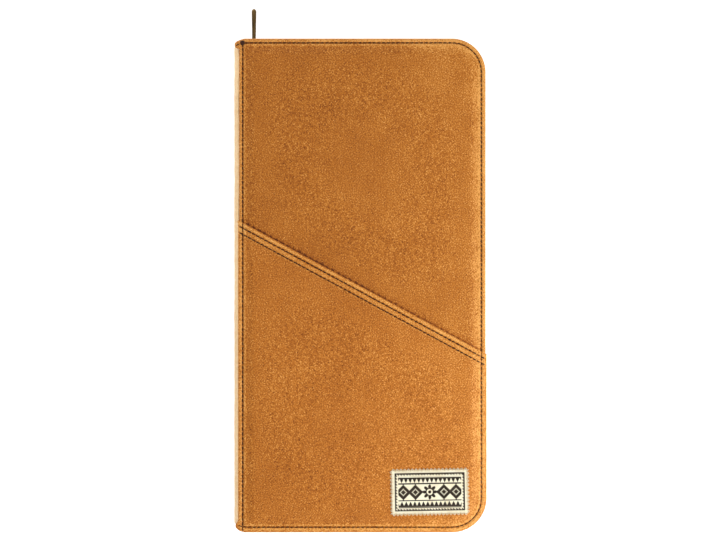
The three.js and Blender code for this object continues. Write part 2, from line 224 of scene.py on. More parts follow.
def outline_normals(points):
    """Inward normals of a closed anticlockwise outline, from the chord between the neighbours."""
    return unit(left_of(np.roll(points, -1, 0) - np.roll(points, 1, 0)))


def cover_outline(inset, step, left, right, half, fore, near):
    """Rounded outline, anticlockwise from the foot: corners of radius fore at the fore edge, and
    of radius near at the spine. The inset draws it in all round."""
    left, right, top = left + inset, right - inset, half - inset
    fore, near = max(fore - inset, 0.5), max(near - inset, 0.5)
    quarter = math.pi / 2
    return np.concatenate([
        line((left + near, -top), (right - fore, -top), step),
        arc((right - fore, -top + fore), fore, -quarter, 0, step),
        line((right, -top + fore), (right, top - fore), step),
        arc((right - fore, top - fore), fore, 0, quarter, step),
        line((right - fore, top), (left + near, top), step),
        arc((left + near, top - near), near, quarter, 2 * quarter, step),
        line((left, top - near), (left, -top + near), step),
        arc((left + near, -top + near), near, 2 * quarter, 3 * quarter, step),
    ])


def ear_drop(x):
    """How far the head and foot edges fall away towards the spine."""
    return EAR_DROP * smooth(-x, HALF_WIDTH - 5, HALF_WIDTH + EAR_REACH)


def ear_stretch(y):
    """How far the margin by the spine is drawn out: a little under 1 along the side, where it
    stops short of the spine's cloth, and more at its two corners."""
    head = EAR_HEAD * smooth(y, HALF_HEIGHT - 7.0, HALF_HEIGHT - 3.4)
    foot = EAR_FOOT * smooth(-y, HALF_HEIGHT - 7.0, HALF_HEIGHT - 2.4)
    return 1 - EAR_WAIST + head + foot


def drawn_out(x, y):
    """Points of the plain rounded outline, moved to where the corners by the spine are drawn out
    over the spine's ends."""
    root = -HALF_WIDTH + STITCH_INSET
    moved = np.where(x < root, root + (x - root) * ear_stretch(y), x)
    return moved, y * (1 - ear_drop(moved) / HALF_HEIGHT)


def drawn_back(x, y):
    """The opposite of drawn_out."""
    root = -HALF_WIDTH + STITCH_INSET
    along = y / (1 - ear_drop(x) / HALF_HEIGHT)
    return np.where(x < root, root + (x - root) / ear_stretch(along), x), along


def inset_of(x, y):
    """Distance inwards from the cover's outline: the distance to a rounded box, turned round."""
    x, y = drawn_back(x, y)
    radius = np.where(x > 0, FORE_RADIUS, SPINE_RADIUS)
    qx = np.abs(x) - (HALF_WIDTH - radius)
    qy = np.abs(y) - (HALF_HEIGHT - radius)
    outside = np.hypot(np.maximum(qx, 0), np.maximum(qy, 0))
    return radius - outside - np.minimum(np.maximum(qx, qy), 0)


def below_mouth(x, y):
    """Distance from the pocket's folded mouth, positive on the pocket's side."""
    return (mouth_spine_y + mouth_slope * (x + HALF_WIDTH) - y) * mouth_cos


def smooth(value, low, high):
    """0 below low, 1 above high and a smooth cubic step between."""
    t = np.clip((value - low) / (high - low), 0, 1)
    return t * t * (3 - 2 * t)


def bell(value, centre, width):
    """Bell curve of height 1 round a centre."""
    return np.exp(-(((value - centre) / width) ** 2))


def roll_drop(distance, radius):
    """How far a rounded edge lies below its face: a quarter circle over the first radius."""
    t = np.clip(1 - distance / radius, 0, 1)
    return radius * (1 - np.sqrt(np.maximum(1 - t * t, 0)))


def ripple(x, y, phase=0.0):
    """Slow unevenness of hand-laid cloth, between about -1 and 1: three long crossing waves."""
    a = np.sin(x / 23 + y / 61 + phase)
    b = np.sin(y / 31 - x / 47 + 2.1 * phase + 1.3)
    c = np.sin((x + y) / 17 + 0.7 * phase + 4.2)
    return (a + b + 0.5 * c) / 2.5


# ------------------------------------------------------------------ padding, by cloth simulation

SHEET_STEP = 3.0
SHEET_SCALE = 0.01


def simulated_swell(pinned):
    """How far a cloth sheet swells between its sewn lines, from 0 to 1 on a grid. A flat sheet the
    size of the cover is pinned where pinned(x, y) is true and blown up by a little pressure."""
    xs = np.arange(-HALF_WIDTH, HALF_WIDTH + SHEET_STEP / 2, SHEET_STEP)
    ys = np.arange(-HALF_HEIGHT, HALF_HEIGHT + SHEET_STEP / 2, SHEET_STEP)
    y, x = np.meshgrid(ys, xs, indexing="ij")
    held = pinned(x, y)
    mesh = bpy.data.meshes.new("sheet")
    co = np.stack([x, y, np.zeros_like(x)], -1).reshape(-1, 3) * SHEET_SCALE
    mesh.from_pydata(co.tolist(), [], grid_quads(len(ys), len(xs)).tolist())
    sheet = bpy.data.objects.new("sheet", mesh)
    bpy.context.scene.collection.objects.link(sheet)
    group = sheet.vertex_groups.new(name="sewn")
    group.add(np.flatnonzero(held.ravel()).tolist(), 1.0, "REPLACE")
    cloth = sheet.modifiers.new("cloth", "CLOTH")
    cloth.settings.quality = 6
    cloth.settings.mass = 0.4
    cloth.settings.tension_stiffness = 12
    cloth.settings.compression_stiffness = 12
    cloth.settings.bending_stiffness = 2
    cloth.settings.vertex_group_mass = "sewn"
    cloth.settings.use_pressure = True
    cloth.settings.uniform_pressure_force = 4
    cloth.settings.effector_weights.gravity = 0
    cloth.point_cache.frame_start = 1
    cloth.point_cache.frame_end = 20
    scene = bpy.context.scene
    for number in range(1, 21):
        scene.frame_set(number)
    swollen = sheet.evaluated_get(bpy.context.evaluated_depsgraph_get())
    out = np.zeros(len(co) * 3, np.float32)
    swollen.data.vertices.foreach_get("co", out)
    rise = out.reshape(-1, 3)[:, 2].reshape(x.shape)
    scene.frame_set(1)
    bpy.data.objects.remove(sheet)
    rise = np.abs(rise)
    return xs, ys, np.clip(rise / np.percentile(rise, 98), 0, 1.05)


def sample(field, x, y):
    """Value of a grid field at any points, by bilinear interpolation."""
    xs, ys, values = field
    u = np.clip((x - xs[0]) / (xs[1] - xs[0]), 0, len(xs) - 1.001)
    v = np.clip((y - ys[0]) / (ys[1] - ys[0]), 0, len(ys) - 1.001)
    i, j = u.astype(int), v.astype(int)
    fu, fv = u - i, v - j
    low = values[j, i] * (1 - fu) + values[j, i + 1] * fu
    high = values[j + 1, i] * (1 - fu) + values[j + 1, i + 1] * fu
    return low * (1 - fv) + high * fv


def sewn_front(x, y):
    """Where the front cover's layers are sewn together: the border and the hem rows."""
    e = below_mouth(x, y)
    return (inset_of(x, y) < STITCH_INSET + 1.2) | ((e > HEM_ROWS[0] - 1) & (e < HEM_ROWS[1] + 1))


def sewn_back(x, y):
    """Where the back cover's layers are sewn together: the border only."""
    return inset_of(x, y) < STITCH_INSET + 1.2


def swell_function(sewn):
    field = simulated_swell(sewn)
    return lambda x, y: sample(field, x, y) * smooth(inset_of(x, y), STITCH_INSET, STITCH_INSET + 5)


front_swell = swell_function(sewn_front)
back_swell = swell_function(sewn_back)


# ------------------------------------------------------------------ heights of the covers

def border_relief(d):
    """Height across the sewn border: the edge lies low, the stitch sits in a groove between two
    soft ridges, and the padding rises inside it."""
    rise = SEWN_DROP * (smooth(d, STITCH_INSET, STITCH_INSET + 9) - 1)
    ridges = RIDGE_RISE * (bell(d, STITCH_INSET - 1.35, 0.8) + bell(d, STITCH_INSET + 1.5, 0.9))
    return rise + ridges - GROOVE_DEPTH * bell(d, STITCH_INSET, GROOVE_WIDTH)


def canvas_top(x, y):
    """Height of the front canvas's upper face."""
    d = inset_of(x, y)
    lumps = 0.1 * ripple(x, y) * smooth(d, 4, 14)
    return FRONT_FACE + border_relief(d) + SWELL_FRONT * front_swell(x, y) + lumps - roll_drop(d, EDGE_ROLL)


def pocket_top(x, y):
    """Height of the pocket panel: it lies on the canvas, its doubled hem stands higher, and the
    two rows of stitches pull it down."""
    d = inset_of(x, y)
    e = below_mouth(x, y)
    sewn_down = 0.45 + 0.55 * smooth(d, 1.5, 5)
    hem = POCKET_LIFT + (HEM_LIFT - POCKET_LIFT) * (1 - smooth(e, HEM_LAP - 1.2, HEM_LAP + 0.8))
    puff = 0.16 * (bell(e, 1.7, 1.1) + bell(e, sum(HEM_ROWS) / 2, 1.2) + bell(e, HEM_ROWS[1] + 1.6, 1.2))
    rows = GROOVE_DEPTH * (bell(e, HEM_ROWS[0], 0.7) + bell(e, HEM_ROWS[1], 0.7))
    base = canvas_top(x, y) + roll_drop(d, EDGE_ROLL) - roll_drop(d + POCKET_PROUD, EDGE_ROLL)
    return base + (hem + puff) * sewn_down - rows - 0.6 * roll_drop(e, 0.6)


def front_top(x, y):
    """Height of whatever faces up on the front cover: the pocket below its mouth, or the canvas."""
    return np.where(below_mouth(x, y) > 0, pocket_top(x, y), canvas_top(x, y))


def back_bottom(x, y):
    """Height of the back canvas's lower face: flat where it rests, drawn up at its border."""
    d = inset_of(x, y)
    lift = -border_relief(d) * 0.9 + roll_drop(d, EDGE_ROLL) + SWELL_BACK * (1 - back_swell(x, y))
    return np.maximum(lift - 0.35, 0.0)


def wear_and_shade_at(x, y, pocket):
    """How much lighter or darker the cloth is painted, from -2.2 to 1: lighter on the ridges beside the
    stitches, at the rim and along the pocket's hem; painted shade in the stitch grooves and under the
    pocket's fold; painted light towards the fore edge and a painted highlight just inside it.
    """
    d = inset_of(x, y)
    ridge = 0.95 * bell(d, STITCH_INSET - 1.4, 1.1) + 0.75 * bell(d, STITCH_INSET + 1.3, 0.8)
    rim = 0.35 * (1 - smooth(d, 0.0, 1.2))
    # Painted light: the cloth is made lighter towards the fore edge, where the key light falls.
    painted_side_light = 0.22 * smooth(x, -0.2 * HALF_WIDTH, 0.85 * HALF_WIDTH)
    # Painted highlight: a lighter band a little inside the border on the fore edge's half, where the padding
    # slopes down towards the light.
    fore = 0.5 * bell(d, 5.5, 3.6) * smooth(x, 0.1 * HALF_WIDTH, 0.8 * HALF_WIDTH)
    # The border's stitch groove is painted darker: painted shade.
    value = ridge + rim + painted_side_light + fore - 0.9 * bell(d, STITCH_INSET, 0.45)
    e = below_mouth(x, y)
    if pocket:
        strip = 0.5 * (1 - smooth(e, HEM_LAP - 0.8, HEM_LAP + 1.2)) * smooth(e, 0.1, 0.9)
        # The hem's two stitch rows are painted darker: painted shade in their grooves.
        value = value + strip - 0.9 * (bell(e, HEM_ROWS[0], 0.5) + bell(e, HEM_ROWS[1], 0.5))
        value = value + 0.35 * bell(e, 1.6, 0.9)
    else:
        # Painted shadow along the pocket's folded mouth: a dark line, deepest towards the spine, and a wider
        # faint shade above it.
        fold_shadow_depth = 3.2 - 1.9 * smooth(x, -0.8 * HALF_WIDTH, 0.8 * HALF_WIDTH)
        value = value - fold_shadow_depth * bell(e, -0.2, 0.6) * smooth(d, 2.5, 4.5) - 0.15 * bell(e, -1.5, 3.0)
    return np.clip(value, -2.2, 1)


# ------------------------------------------------------------------ padded plates

RAY_RINGS = (0.3, 0.6, 0.95, 1.3, 1.7, 2.2, 2.8, 3.6, 4.6, 6.0, 8.0, 10.5)


def ring_layout(outline, heart, near, rays, inner):
    """Rings of points that fill an outline: first at set distances inside it, then along straight
    rays to the heart, a line inside the outline, where they end."""
    normals = outline_normals(outline)
    rings = [outline + normals * d for d in near]
    last = rings[-1]
    ray = heart - last
    length = np.linalg.norm(ray, axis=1)[:, None]
    rings += [last + ray / length * d for d in rays]
    shares = np.linspace(0, 1, inner + 1)[1:]
    start = rings[-1]
    rings += [start + (heart - start) * s for s in shares]
    return np.stack(rings)


def heart_line(outline, x, low, high):
    """For each outline point, the nearest height on an upright line at x from low to high."""
    return np.stack([np.full(len(outline), x), np.clip(outline[:, 1], low, high)], 1)


def plate_piece(name, upper_xy, upper_z, side, lower_xy, lower_z):
    """A closed plate: the upper rings from the edge to the heart, a side of extra rings and the
    lower rings, joined ring to ring and merged along the heart."""
    upper = np.dstack([upper_xy, upper_z])
    lower = np.dstack([lower_xy, lower_z])
    rings = np.concatenate([upper[::-1], side, lower])
    return new_piece(name, rings, grid_quads(len(rings), rings.shape[1], close_cols=True))


def side_rings(outline, pairs):
    """Rings round an outline, each moved inwards and set to one height by its pair."""
    normals = outline_normals(outline)
    rings = []
    for inset, height in pairs:
        xy = outline + normals * inset
        rings.append(np.column_stack([xy, np.full(len(xy), height)]))
    return np.stack(rings)


EDGE_STEPS = np.concatenate([[0, 0.12, 0.3, 0.6, 0.95], np.arange(1.3, 13, 0.42)])


def cover_columns(grow):
    """Columns across the cover, closer together round its corners, and how far the head and foot
    edges curve in at each. The outline may be grown a little all round."""
    near, fore = SPINE_RADIUS + grow, FORE_RADIUS + grow
    left, right = -HALF_WIDTH + SPINE_RADIUS, HALF_WIDTH - FORE_RADIUS
    bend = np.linspace(0, math.pi / 2, 9)
    wide = np.linspace(0, math.pi / 2, 34)
    us = np.concatenate([
        left - near * np.cos(bend[:-1]),
        np.arange(left, left + 8, 0.5),
        np.arange(left + 8, right, 1.5),
        right + fore * np.sin(wide),
    ])
    sag_near = near - np.sqrt(np.maximum(near ** 2 - np.minimum(us - left, 0) ** 2, 0))
    sag_fore = fore - np.sqrt(np.maximum(fore ** 2 - np.maximum(us - right, 0) ** 2, 0))
    return us, sag_near + sag_fore


def column_grid(us, high, low, count):
    """Places on the cover along each column from high to low, closer together at both ends."""
    rows = []
    for length in high - low:
        inner = np.linspace(EDGE_STEPS[-1], length - EDGE_STEPS[-1], count)[1:-1]
        rows.append(np.concatenate([EDGE_STEPS, inner, length - EDGE_STEPS[::-1]]))
    rows = np.stack(rows, 1)
    return drawn_out(np.broadcast_to(us, rows.shape), high - rows)


def skirted_slab(name, x, y, face, pairs, inner, pocket=False, first_row=None):
    """A closed slab: the face as a grid, skirts that lead from its rim by (inset, rise) pairs, and
    an inner face. The rim's first row may follow pairs of its own."""
    index = np.arange(x.size).reshape(x.shape)
    rim = np.concatenate([index[0, ::-1], index[1:, 0], index[-1, 1:], index[-2:0:-1, -1]])
    in_first = np.arange(len(rim)) < x.shape[1]
    flat = np.stack([x, y], -1).reshape(-1, 2)
    normals = outline_normals(flat[rim])
    skirts = []
    for (inset, rise), (own_inset, own_rise) in zip(pairs, first_row or pairs):
        moved = flat[rim] + normals * np.where(in_first, own_inset, inset)[:, None]
        skirts.append(np.column_stack([moved, face.ravel()[rim] + np.where(in_first, own_rise, rise)]))
    under = np.column_stack([flat, np.broadcast_to(inner, x.shape).ravel()])
    under[rim] = skirts[-1]
    points = np.concatenate([np.column_stack([flat, face.ravel()]), *skirts[:-1], under])
    size, around, last = x.size, len(rim), len(skirts) - 1
    loops = [rim] + [size + k * around + np.arange(around) for k in range(last)]
    loops.append(size + last * around + rim)
    walls = [np.stack([b, np.roll(b, -1), np.roll(a, -1), a], 1) for a, b in zip(loops[:-1], loops[1:])]
    quads = grid_quads(*x.shape)
    lower = quads[:, ::-1] + size + last * around
    return new_piece(name, points, np.concatenate([quads, *walls, lower]),
                     {"wear_and_shade": wear_and_shade_at(points[:, 0], points[:, 1], pocket)})


def build_cover(name, height, side, inner):
    """A cover's canvas, turned in round its board: side is 1 where its face is up."""
    us, sag = cover_columns(0.0)
    x, y = column_grid(us, HALF_HEIGHT - sag, -HALF_HEIGHT + sag, 150)
    turned = [(-0.12, 0.8), (-0.15, 2.0), (-0.05, 3.3), (0.3, 4.1), (1.0, 4.35)]
    pairs = [(inset, -drop * side) for inset, drop in turned]
    return skirted_slab(name, x, y, height(x, y), pairs, inner + 0.15 * side)


def build_pocket():
    """The panel over the lower part of the front. Round its border it wraps down over the cover's
    edge, and along its mouth it turns under."""
    us, sag = cover_columns(POCKET_PROUD)
    mouth = mouth_spine_y + mouth_slope * (us + HALF_WIDTH)
    x, y = column_grid(us, mouth, -HALF_HEIGHT - POCKET_PROUD + sag, 90)
    border = [(-0.05, -0.9), (0.0, -2.4), (0.15, -4.0), (0.7, -4.4)]
    fold = [(-0.16, -0.3), (0.0, -0.65), (0.5, -0.85), (1.6, -0.9)]
    under = canvas_top(x, y) - 0.5
    return skirted_slab("pocket_panel", x, y, pocket_top(x, y), border, under, True, fold)


# ------------------------------------------------------------------ thread

def stitch_piece(name, starts, ends, ups, radius=THREAD_RADIUS, rise=0.3, sides=6, rings=7):
    """Stitches, one closed spindle each: its middle follows the line from start to end and humps
    up by a half sine, and its radius is a flat-topped bump that closes to a point at both ends."""
    starts, ends, ups = (np.asarray(v, float) for v in (starts, ends, ups))
    t = np.linspace(0, 1, rings)
    body = np.maximum(1 - np.abs(2 * t - 1) ** 3.2, 0) ** 0.6
    along = ends - starts
    way = unit(along)
    across = unit(np.cross(way, ups))
    up = np.cross(across, way)
    middle = starts[:, None] + along[:, None] * t[None, :, None]
    middle = middle + ups[:, None] * (rise * (np.sin(math.pi * t) - 0.45))[None, :, None]
    turn = 2 * math.pi * np.arange(sides) / sides
    side_way = across[:, None, None] * np.cos(turn)[None, None, :, None]
    up_way = up[:, None, None] * np.sin(turn)[None, None, :, None]
    shell = middle[:, :, None] + (side_way + up_way) * (radius * body)[None, :, None, None]
    quads = grid_quads(rings, sides, close_cols=True)
    offset = (np.arange(len(starts)) * rings * sides)[:, None, None]
    return new_piece(name, shell, (quads[None] + offset).reshape(-1, 4))


def walk(path, pitch):
    """Points one pitch apart along an open path of points, as a whole number of steps."""
    path = np.asarray(path, float)
    lengths = run_along(path)
    count = max(int(round(lengths[-1] / pitch)), 1)
    wanted = np.linspace(0, lengths[-1], count + 1)
    return np.stack([np.interp(wanted, lengths, path[:, k]) for k in range(path.shape[1])], 1)


def stitches_on(name, paths, height, up_sign=1.0, pitch=STITCH_PITCH, length=STITCH_LENGTH,
                radius=THREAD_RADIUS, slant=0.16, **shape):
    """A row of stitches along each flat path, laid on a height function, each turned a little
    across the row as a lock stitch is."""
    starts, ends = [], []
    for path in paths:
        stops = walk(path, pitch)
        middle = (stops[1:] + stops[:-1]) / 2
        way = unit(stops[1:] - stops[:-1])
        half = way * (length / 2) + left_of(way) * slant
        starts.append(middle - half)
        ends.append(middle + half)
    starts, ends = np.concatenate(starts), np.concatenate(ends)

    def place(xy):
        return np.column_stack([xy, height(xy[:, 0], xy[:, 1])])

    ups = np.tile([0.0, 0.0, up_sign], (len(starts), 1))
    return stitch_piece(name, place(starts), place(ends), ups, radius, **shape)


def round_run(inset, start_x, step=1.0):
    """Open path along the head, the fore edge and the foot at an inset, from start_x and back."""
    radius = FORE_RADIUS - inset
    cx, cy = HALF_WIDTH - FORE_RADIUS, HALF_HEIGHT - FORE_RADIUS
    quarter = math.pi / 2
    return np.concatenate([
        line((start_x, cy + radius), (cx, cy + radius), step),
        arc((cx, cy), radius, quarter, 0, step),
        line((cx + radius, cy), (cx + radius, -cy), step),
        arc((cx, -cy), radius, 0, -quarter, step),
        line((cx, -cy - radius), (start_x, -cy - radius), step),
        [(start_x, -cy - radius)],
    ])


# ------------------------------------------------------------------ swept strips

def swept_strip(name, profile, start_x, step=2.0):
    """A closed profile of (inset, height) pairs carried along the head, the fore edge and the
    foot, and shut at both ends by drawing the last section together."""
    path = round_run(0.0, start_x, step)
    outward = unit(left_of(np.gradient(path, axis=0)))
    profile = np.asarray(profile, float)
    centre = profile.mean(0)
    sections = np.repeat(profile[None], len(path) + 2, 0)
    sections[0] = centre
    sections[-1] = centre
    at = np.concatenate([[0], np.arange(len(path)), [len(path) - 1]])
    xy = path[at][:, None] - outward[at][:, None] * sections[..., :1]
    points = np.concatenate([xy, sections[..., 1:]], -1)
    uv = np.stack(np.broadcast_arrays(run_along(path)[at][:, None] * MM, run_along(profile)[None] * MM), -1)
    quads = grid_quads(len(points), len(profile), close_cols=True)
    return new_piece(name, points, quads, uv=uv)


def slab_profile(inset, thickness, low, high, bulge=0.0, steps=8):
    """Closed profile of an upright strip of cloth, its outer face bulging a little."""
    t = np.linspace(0, 1, steps + 1)
    outer = np.stack([inset - bulge * np.sin(math.pi * t), low + (high - low) * t], 1)
    inner = outer[::-1] + [thickness, 0]
    return np.concatenate([outer, inner])


# ------------------------------------------------------------------ materials

def linear(red, green, blue):
    """Scene-linear colour from an sRGB colour of 0 to 255."""
    srgb = np.array([red, green, blue]) / 255
    return tuple(np.where(srgb <= 0.04045, srgb / 12.92, ((srgb + 0.055) / 1.055) ** 2.4)) + (1.0,)


class Shader:
    """A node material put together by short calls. An input given as (node, output name) is
    linked; anything else is set on the socket."""

    def __init__(self, name):
        self.material = bpy.data.materials.new(name)
        self.material.use_nodes = True
        self.tree = self.material.node_tree
        self.tree.nodes.clear()
        self.surface = self.add("BsdfPrincipled")
        self.output = self.add("OutputMaterial")
        self.tree.links.new(self.surface.outputs[0], self.output.inputs["Surface"])
        self.place = (self.add("TexCoord"), "Object")

    def add(self, kind, inputs=None, **settings):
        node = self.tree.nodes.new("ShaderNode" + kind)
        for key, value in settings.items():
            setattr(node, key, value)
        self.feed(node, inputs or {})
        return node

    def feed(self, node, inputs):
        for key, value in inputs.items():
            if isinstance(value, tuple) and isinstance(value[0], bpy.types.Node):
                self.tree.links.new(value[0].outputs[value[1]], node.inputs[key])
            else:
                node.inputs[key].default_value = value

    def stretch(self, scale, turn=0.0):
        """The coordinates turned about the upright axis, then scaled."""
        size = tuple(1 / value for value in scale)
        inputs = {"Vector": self.place, "Scale": size, "Rotation": (0, 0, turn)}
        return (self.add("Mapping", inputs, vector_type="TEXTURE"), "Vector")

    def noise(self, scale, detail=3.0, roughness=0.55, source=None):
        inputs = {"Vector": source or self.place, "Scale": scale, "Detail": detail, "Roughness": roughness}
        return (self.add("TexNoise", inputs), "Fac")

    def wave(self, scale, direction, distortion=0.0, source=None):
        inputs = {"Vector": source or self.place, "Scale": scale, "Distortion": distortion, "Detail": 1.0}
        return (self.add("TexWave", inputs, bands_direction=direction), "Fac")

    def ramp(self, value, low, high):
        """The value spread so that low becomes 0 and high becomes 1."""
        inputs = {"Value": value, "From Min": low, "From Max": high, "To Min": 0.0, "To Max": 1.0}
        return (self.add("MapRange", inputs, clamp=True), "Result")

    def math(self, operation, first, second=0.0):
        return (self.add("Math", {0: first, 1: second}, operation=operation), "Value")

    def mix(self, factor, first, second):
        inputs = {"Fac": factor, "Color1": first, "Color2": second}
        return (self.add("MixRGB", inputs), "Color")

    def attribute(self, name):
        return (self.add("Attribute", attribute_name=name), "Fac")

    def bump(self, height, strength, distance, base=None):
        inputs = {"Height": height, "Strength": strength, "Distance": distance * MM}
        if base:
            inputs["Normal"] = base
        return (self.add("Bump", inputs), "Normal")

    def finish(self, colour, roughness, normal=None, **constants):
        self.feed(self.surface, {"Base Color": colour, "Roughness": roughness})
        if normal:
            self.feed(self.surface, {"Normal": normal})
        for key, value in constants.items():
            self.surface.inputs[key.replace("_", " ")].default_value = value
        return self.material


# A wave texture of this scale has its bands a millimetre apart.
BAND_PER_MM = 314.0
HATCH_SPACING = 1.5


def canvas_material(name, shades, has_wear_and_shade=True):
    """Brushed waxed canvas. One value runs through five shades from deepest to palest: it is moved
    by slow mottling, by flecks that slant both ways along the weave's crossings, by loose slubs,
    and, on pieces that carry the attribute, by lighter ridges and by painted light and shade:
    painted shade in the stitch grooves and under the pocket's fold, painted light towards the fore
    edge and a painted highlight just inside it."""
    s = Shader(name)
    slow = s.noise(26.0, 3.0, 0.55)
    patch = s.noise(110.0, 3.0, 0.6)
    rising = s.noise(1.0, 2.0, 0.6, s.stretch((1850.0, 950.0, 1300.0), math.pi / 4))
    falling = s.noise(1.0, 2.0, 0.6, s.stretch((1850.0, 950.0, 1300.0), -math.pi / 4))
    slubs = s.noise(1.0, 2.0, 0.6, s.stretch((700.0, 60.0, 300.0)))
    flecks = s.math("ADD", rising, falling)
    up_right = s.wave(BAND_PER_MM / HATCH_SPACING, "X", 3.0, s.stretch((1, 1, 1), math.pi / 4))
    up_left = s.wave(BAND_PER_MM / HATCH_SPACING, "X", 3.0, s.stretch((1, 1, 1), -math.pi / 4))
    hatch = s.math("MULTIPLY", up_right, up_left)

    def swing(value, middle, amount):
        return s.math("MULTIPLY", s.math("SUBTRACT", value, middle), amount)

    total = s.math("ADD", swing(flecks, 1.0, 1.5), 0.56)
    for value, amount in ((slow, 0.26), (patch, 0.08), (slubs, 0.18), (hatch, 0.12)):
        total = s.math("ADD", total, swing(value, 0.5, amount))
    if has_wear_and_shade:
        wear_and_shade = s.attribute("wear_and_shade")
        broken = s.math("ADD", s.math("MULTIPLY", patch, 0.55), 0.12)
        total = s.math("ADD", total, s.math("MULTIPLY", wear_and_shade, broken))
    spread = s.add("ValToRGB", {"Fac": total})
    stops = spread.color_ramp.elements
    stops[0].position, stops[0].color = 0.0, shades[0]
    stops[1].position, stops[1].color = 1.0, shades[4]
    for position, shade in ((0.28, shades[1]), (0.5, shades[2]), (0.74, shades[3])):
        stops.new(position).color = shade
    weave = s.math("MAXIMUM", s.wave(450.0, "X", 1.2), s.wave(450.0, "Y", 1.2))
    bump = s.bump(weave, 0.3, 0.12)
    bump = s.bump(flecks, 0.55, 0.35, bump)
    bump = s.bump(patch, 0.3, 0.5, bump)
    rough = s.ramp(flecks, 2.6, -0.8)
    return s.finish((spread, "Color"), rough, bump,
                    Sheen_Weight=0.03, Sheen_Roughness=0.5, Specular_IOR_Level=0.22)


def plain_cloth(name, dark, light, spacing, bump):
    """Plain woven cloth: threads both ways at the given spacing in millimetres, with slubs."""
    s = Shader(name)
    turns = BAND_PER_MM / spacing
    warp = s.wave(turns, "X", 0.8)
    weft = s.wave(turns, "Y", 0.8)
    rise = s.wave(turns, "Z", 0.8)
    weave = s.math("MULTIPLY", s.math("ADD", warp, weft), 0.5)
    weave = s.math("MAXIMUM", weave, s.math("MULTIPLY", rise, 0.6))
    slubs = s.ramp(s.noise(1.0, 3.0, 0.6, s.stretch((90.0, 420.0, 260.0))), 0.35, 0.7)
    slow = s.ramp(s.noise(30.0, 3.0), 0.3, 0.7)
    mixed = s.math("ADD", s.math("MULTIPLY", slubs, 0.5), s.math("MULTIPLY", slow, 0.5))
    colour = s.mix(mixed, dark, light)
    colour = s.mix(s.math("MULTIPLY", weave, 0.25), colour, light)
    normal = s.bump(weave, 0.5, bump)
    normal = s.bump(slubs, 0.4, bump * 1.5, normal)
    rough = s.ramp(slubs, 2.2, -1.2)
    return s.finish(colour, rough, normal, Sheen_Weight=0.1, Sheen_Roughness=0.5, Specular_IOR_Level=0.3)


def plush_material(name, dark, light):
    """Short-pile lining: soft nap that lies in patches, with fine tufts."""
    s = Shader(name)
    patches = s.ramp(s.noise(30.0, 4.0, 0.6), 0.2, 0.8)
    tufts = s.noise(1300.0, 2.0)
    strokes = s.noise(1.0, 3.0, 0.6, s.stretch((160.0, 40.0, 100.0), 0.3))
    colour = s.mix(patches, dark, light)
    colour = s.mix(s.math("MULTIPLY", s.ramp(strokes, 0.45, 0.75), 0.5), colour, light)
    colour = s.mix(s.math("MULTIPLY", s.ramp(tufts, 0.4, 0.7), 0.3), colour, dark)
    normal = s.bump(tufts, 0.5, 0.35)
    normal = s.bump(strokes, 0.3, 0.5, normal)
    rough = s.ramp(patches, 2.4, -1.6)
    return s.finish(colour, rough, normal, Sheen_Weight=0.35, Sheen_Roughness=0.35, Specular_IOR_Level=0.2)


def ribbed_material(name, dark, light, rib, direction, bump=0.3):
    """Ribbed band, such as elastic or zip tape: ribs across the object at a spacing in mm."""
    s = Shader(name)
    ribs = s.wave(BAND_PER_MM / rib, direction, 0.4)
    fibres = s.noise(900.0, 3.0)
    slow = s.ramp(s.noise(60.0, 3.0), 0.3, 0.7)
    colour = s.mix(s.math("MULTIPLY", ribs, s.math("ADD", slow, 0.3)), dark, light)
    colour = s.mix(s.math("MULTIPLY", s.ramp(fibres, 0.45, 0.75), 0.35), colour, light)
    normal = s.bump(ribs, 0.6, bump)
    normal = s.bump(fibres, 0.3, 0.12, normal)
    rough = s.ramp(slow, 3.0, -1.4)
    return s.finish(colour, rough, normal, Sheen_Weight=0.05, Sheen_Roughness=0.5, Specular_IOR_Level=0.3)


def thread_material(name, dark, light, specular):
    """Twisted thread: slanting plies, uneven dye and a little wax."""
    s = Shader(name)
    plies = s.wave(1300.0, "DIAGONAL", 0.6)
    dye = s.ramp(s.noise(340.0, 3.0), 0.35, 0.68)
    colour = s.mix(dye, dark, light)
    colour = s.mix(s.math("MULTIPLY", plies, 0.3), colour, dark)
    normal = s.bump(plies, 0.5, 0.08)
    rough = s.ramp(dye, 2.2, -1.4)
    return s.finish(colour, rough, normal, Specular_IOR_Level=specular)


def brass_material(name):
    """Aged brass: a dark patina that has rubbed off the high places, fine scratches and pits."""
    s = Shader(name)
    patina = s.ramp(s.noise(150.0, 6.0, 0.65), 0.38, 0.62)
    scratches = s.noise(1.0, 4.0, 0.7, s.stretch((2600.0, 140.0, 900.0), 0.35))
    edges = s.ramp((s.add("NewGeometry"), "Pointiness"), 0.49, 0.56)
    colour = s.mix(patina, linear(56, 38, 14), linear(104, 78, 42))
    colour = s.mix(s.math("MULTIPLY", edges, 0.7), colour, linear(150, 122, 78))
    colour = s.mix(s.math("MULTIPLY", s.ramp(scratches, 0.55, 0.8), 0.35), colour, linear(60, 44, 24))
    rough = s.math("ADD", s.math("MULTIPLY", patina, 0.2), 0.26)
    normal = s.bump(patina, 0.2, 0.12)
    normal = s.bump(scratches, 0.2, 0.05, normal)
    return s.finish(colour, rough, normal, Metallic=0.92)


def nylon_material(name, dark, light):
    """Zip coil: smooth dark nylon with a soft shine and dust between the turns."""
    s = Shader(name)
    dust = s.ramp(s.noise(420.0, 4.0, 0.6), 0.45, 0.75)
    colour = s.mix(dust, dark, light)
    rough = s.math("ADD", s.math("MULTIPLY", dust, 0.3), 0.3)
    return s.finish(colour, rough, s.bump(dust, 0.3, 0.05), Specular_IOR_Level=0.5)


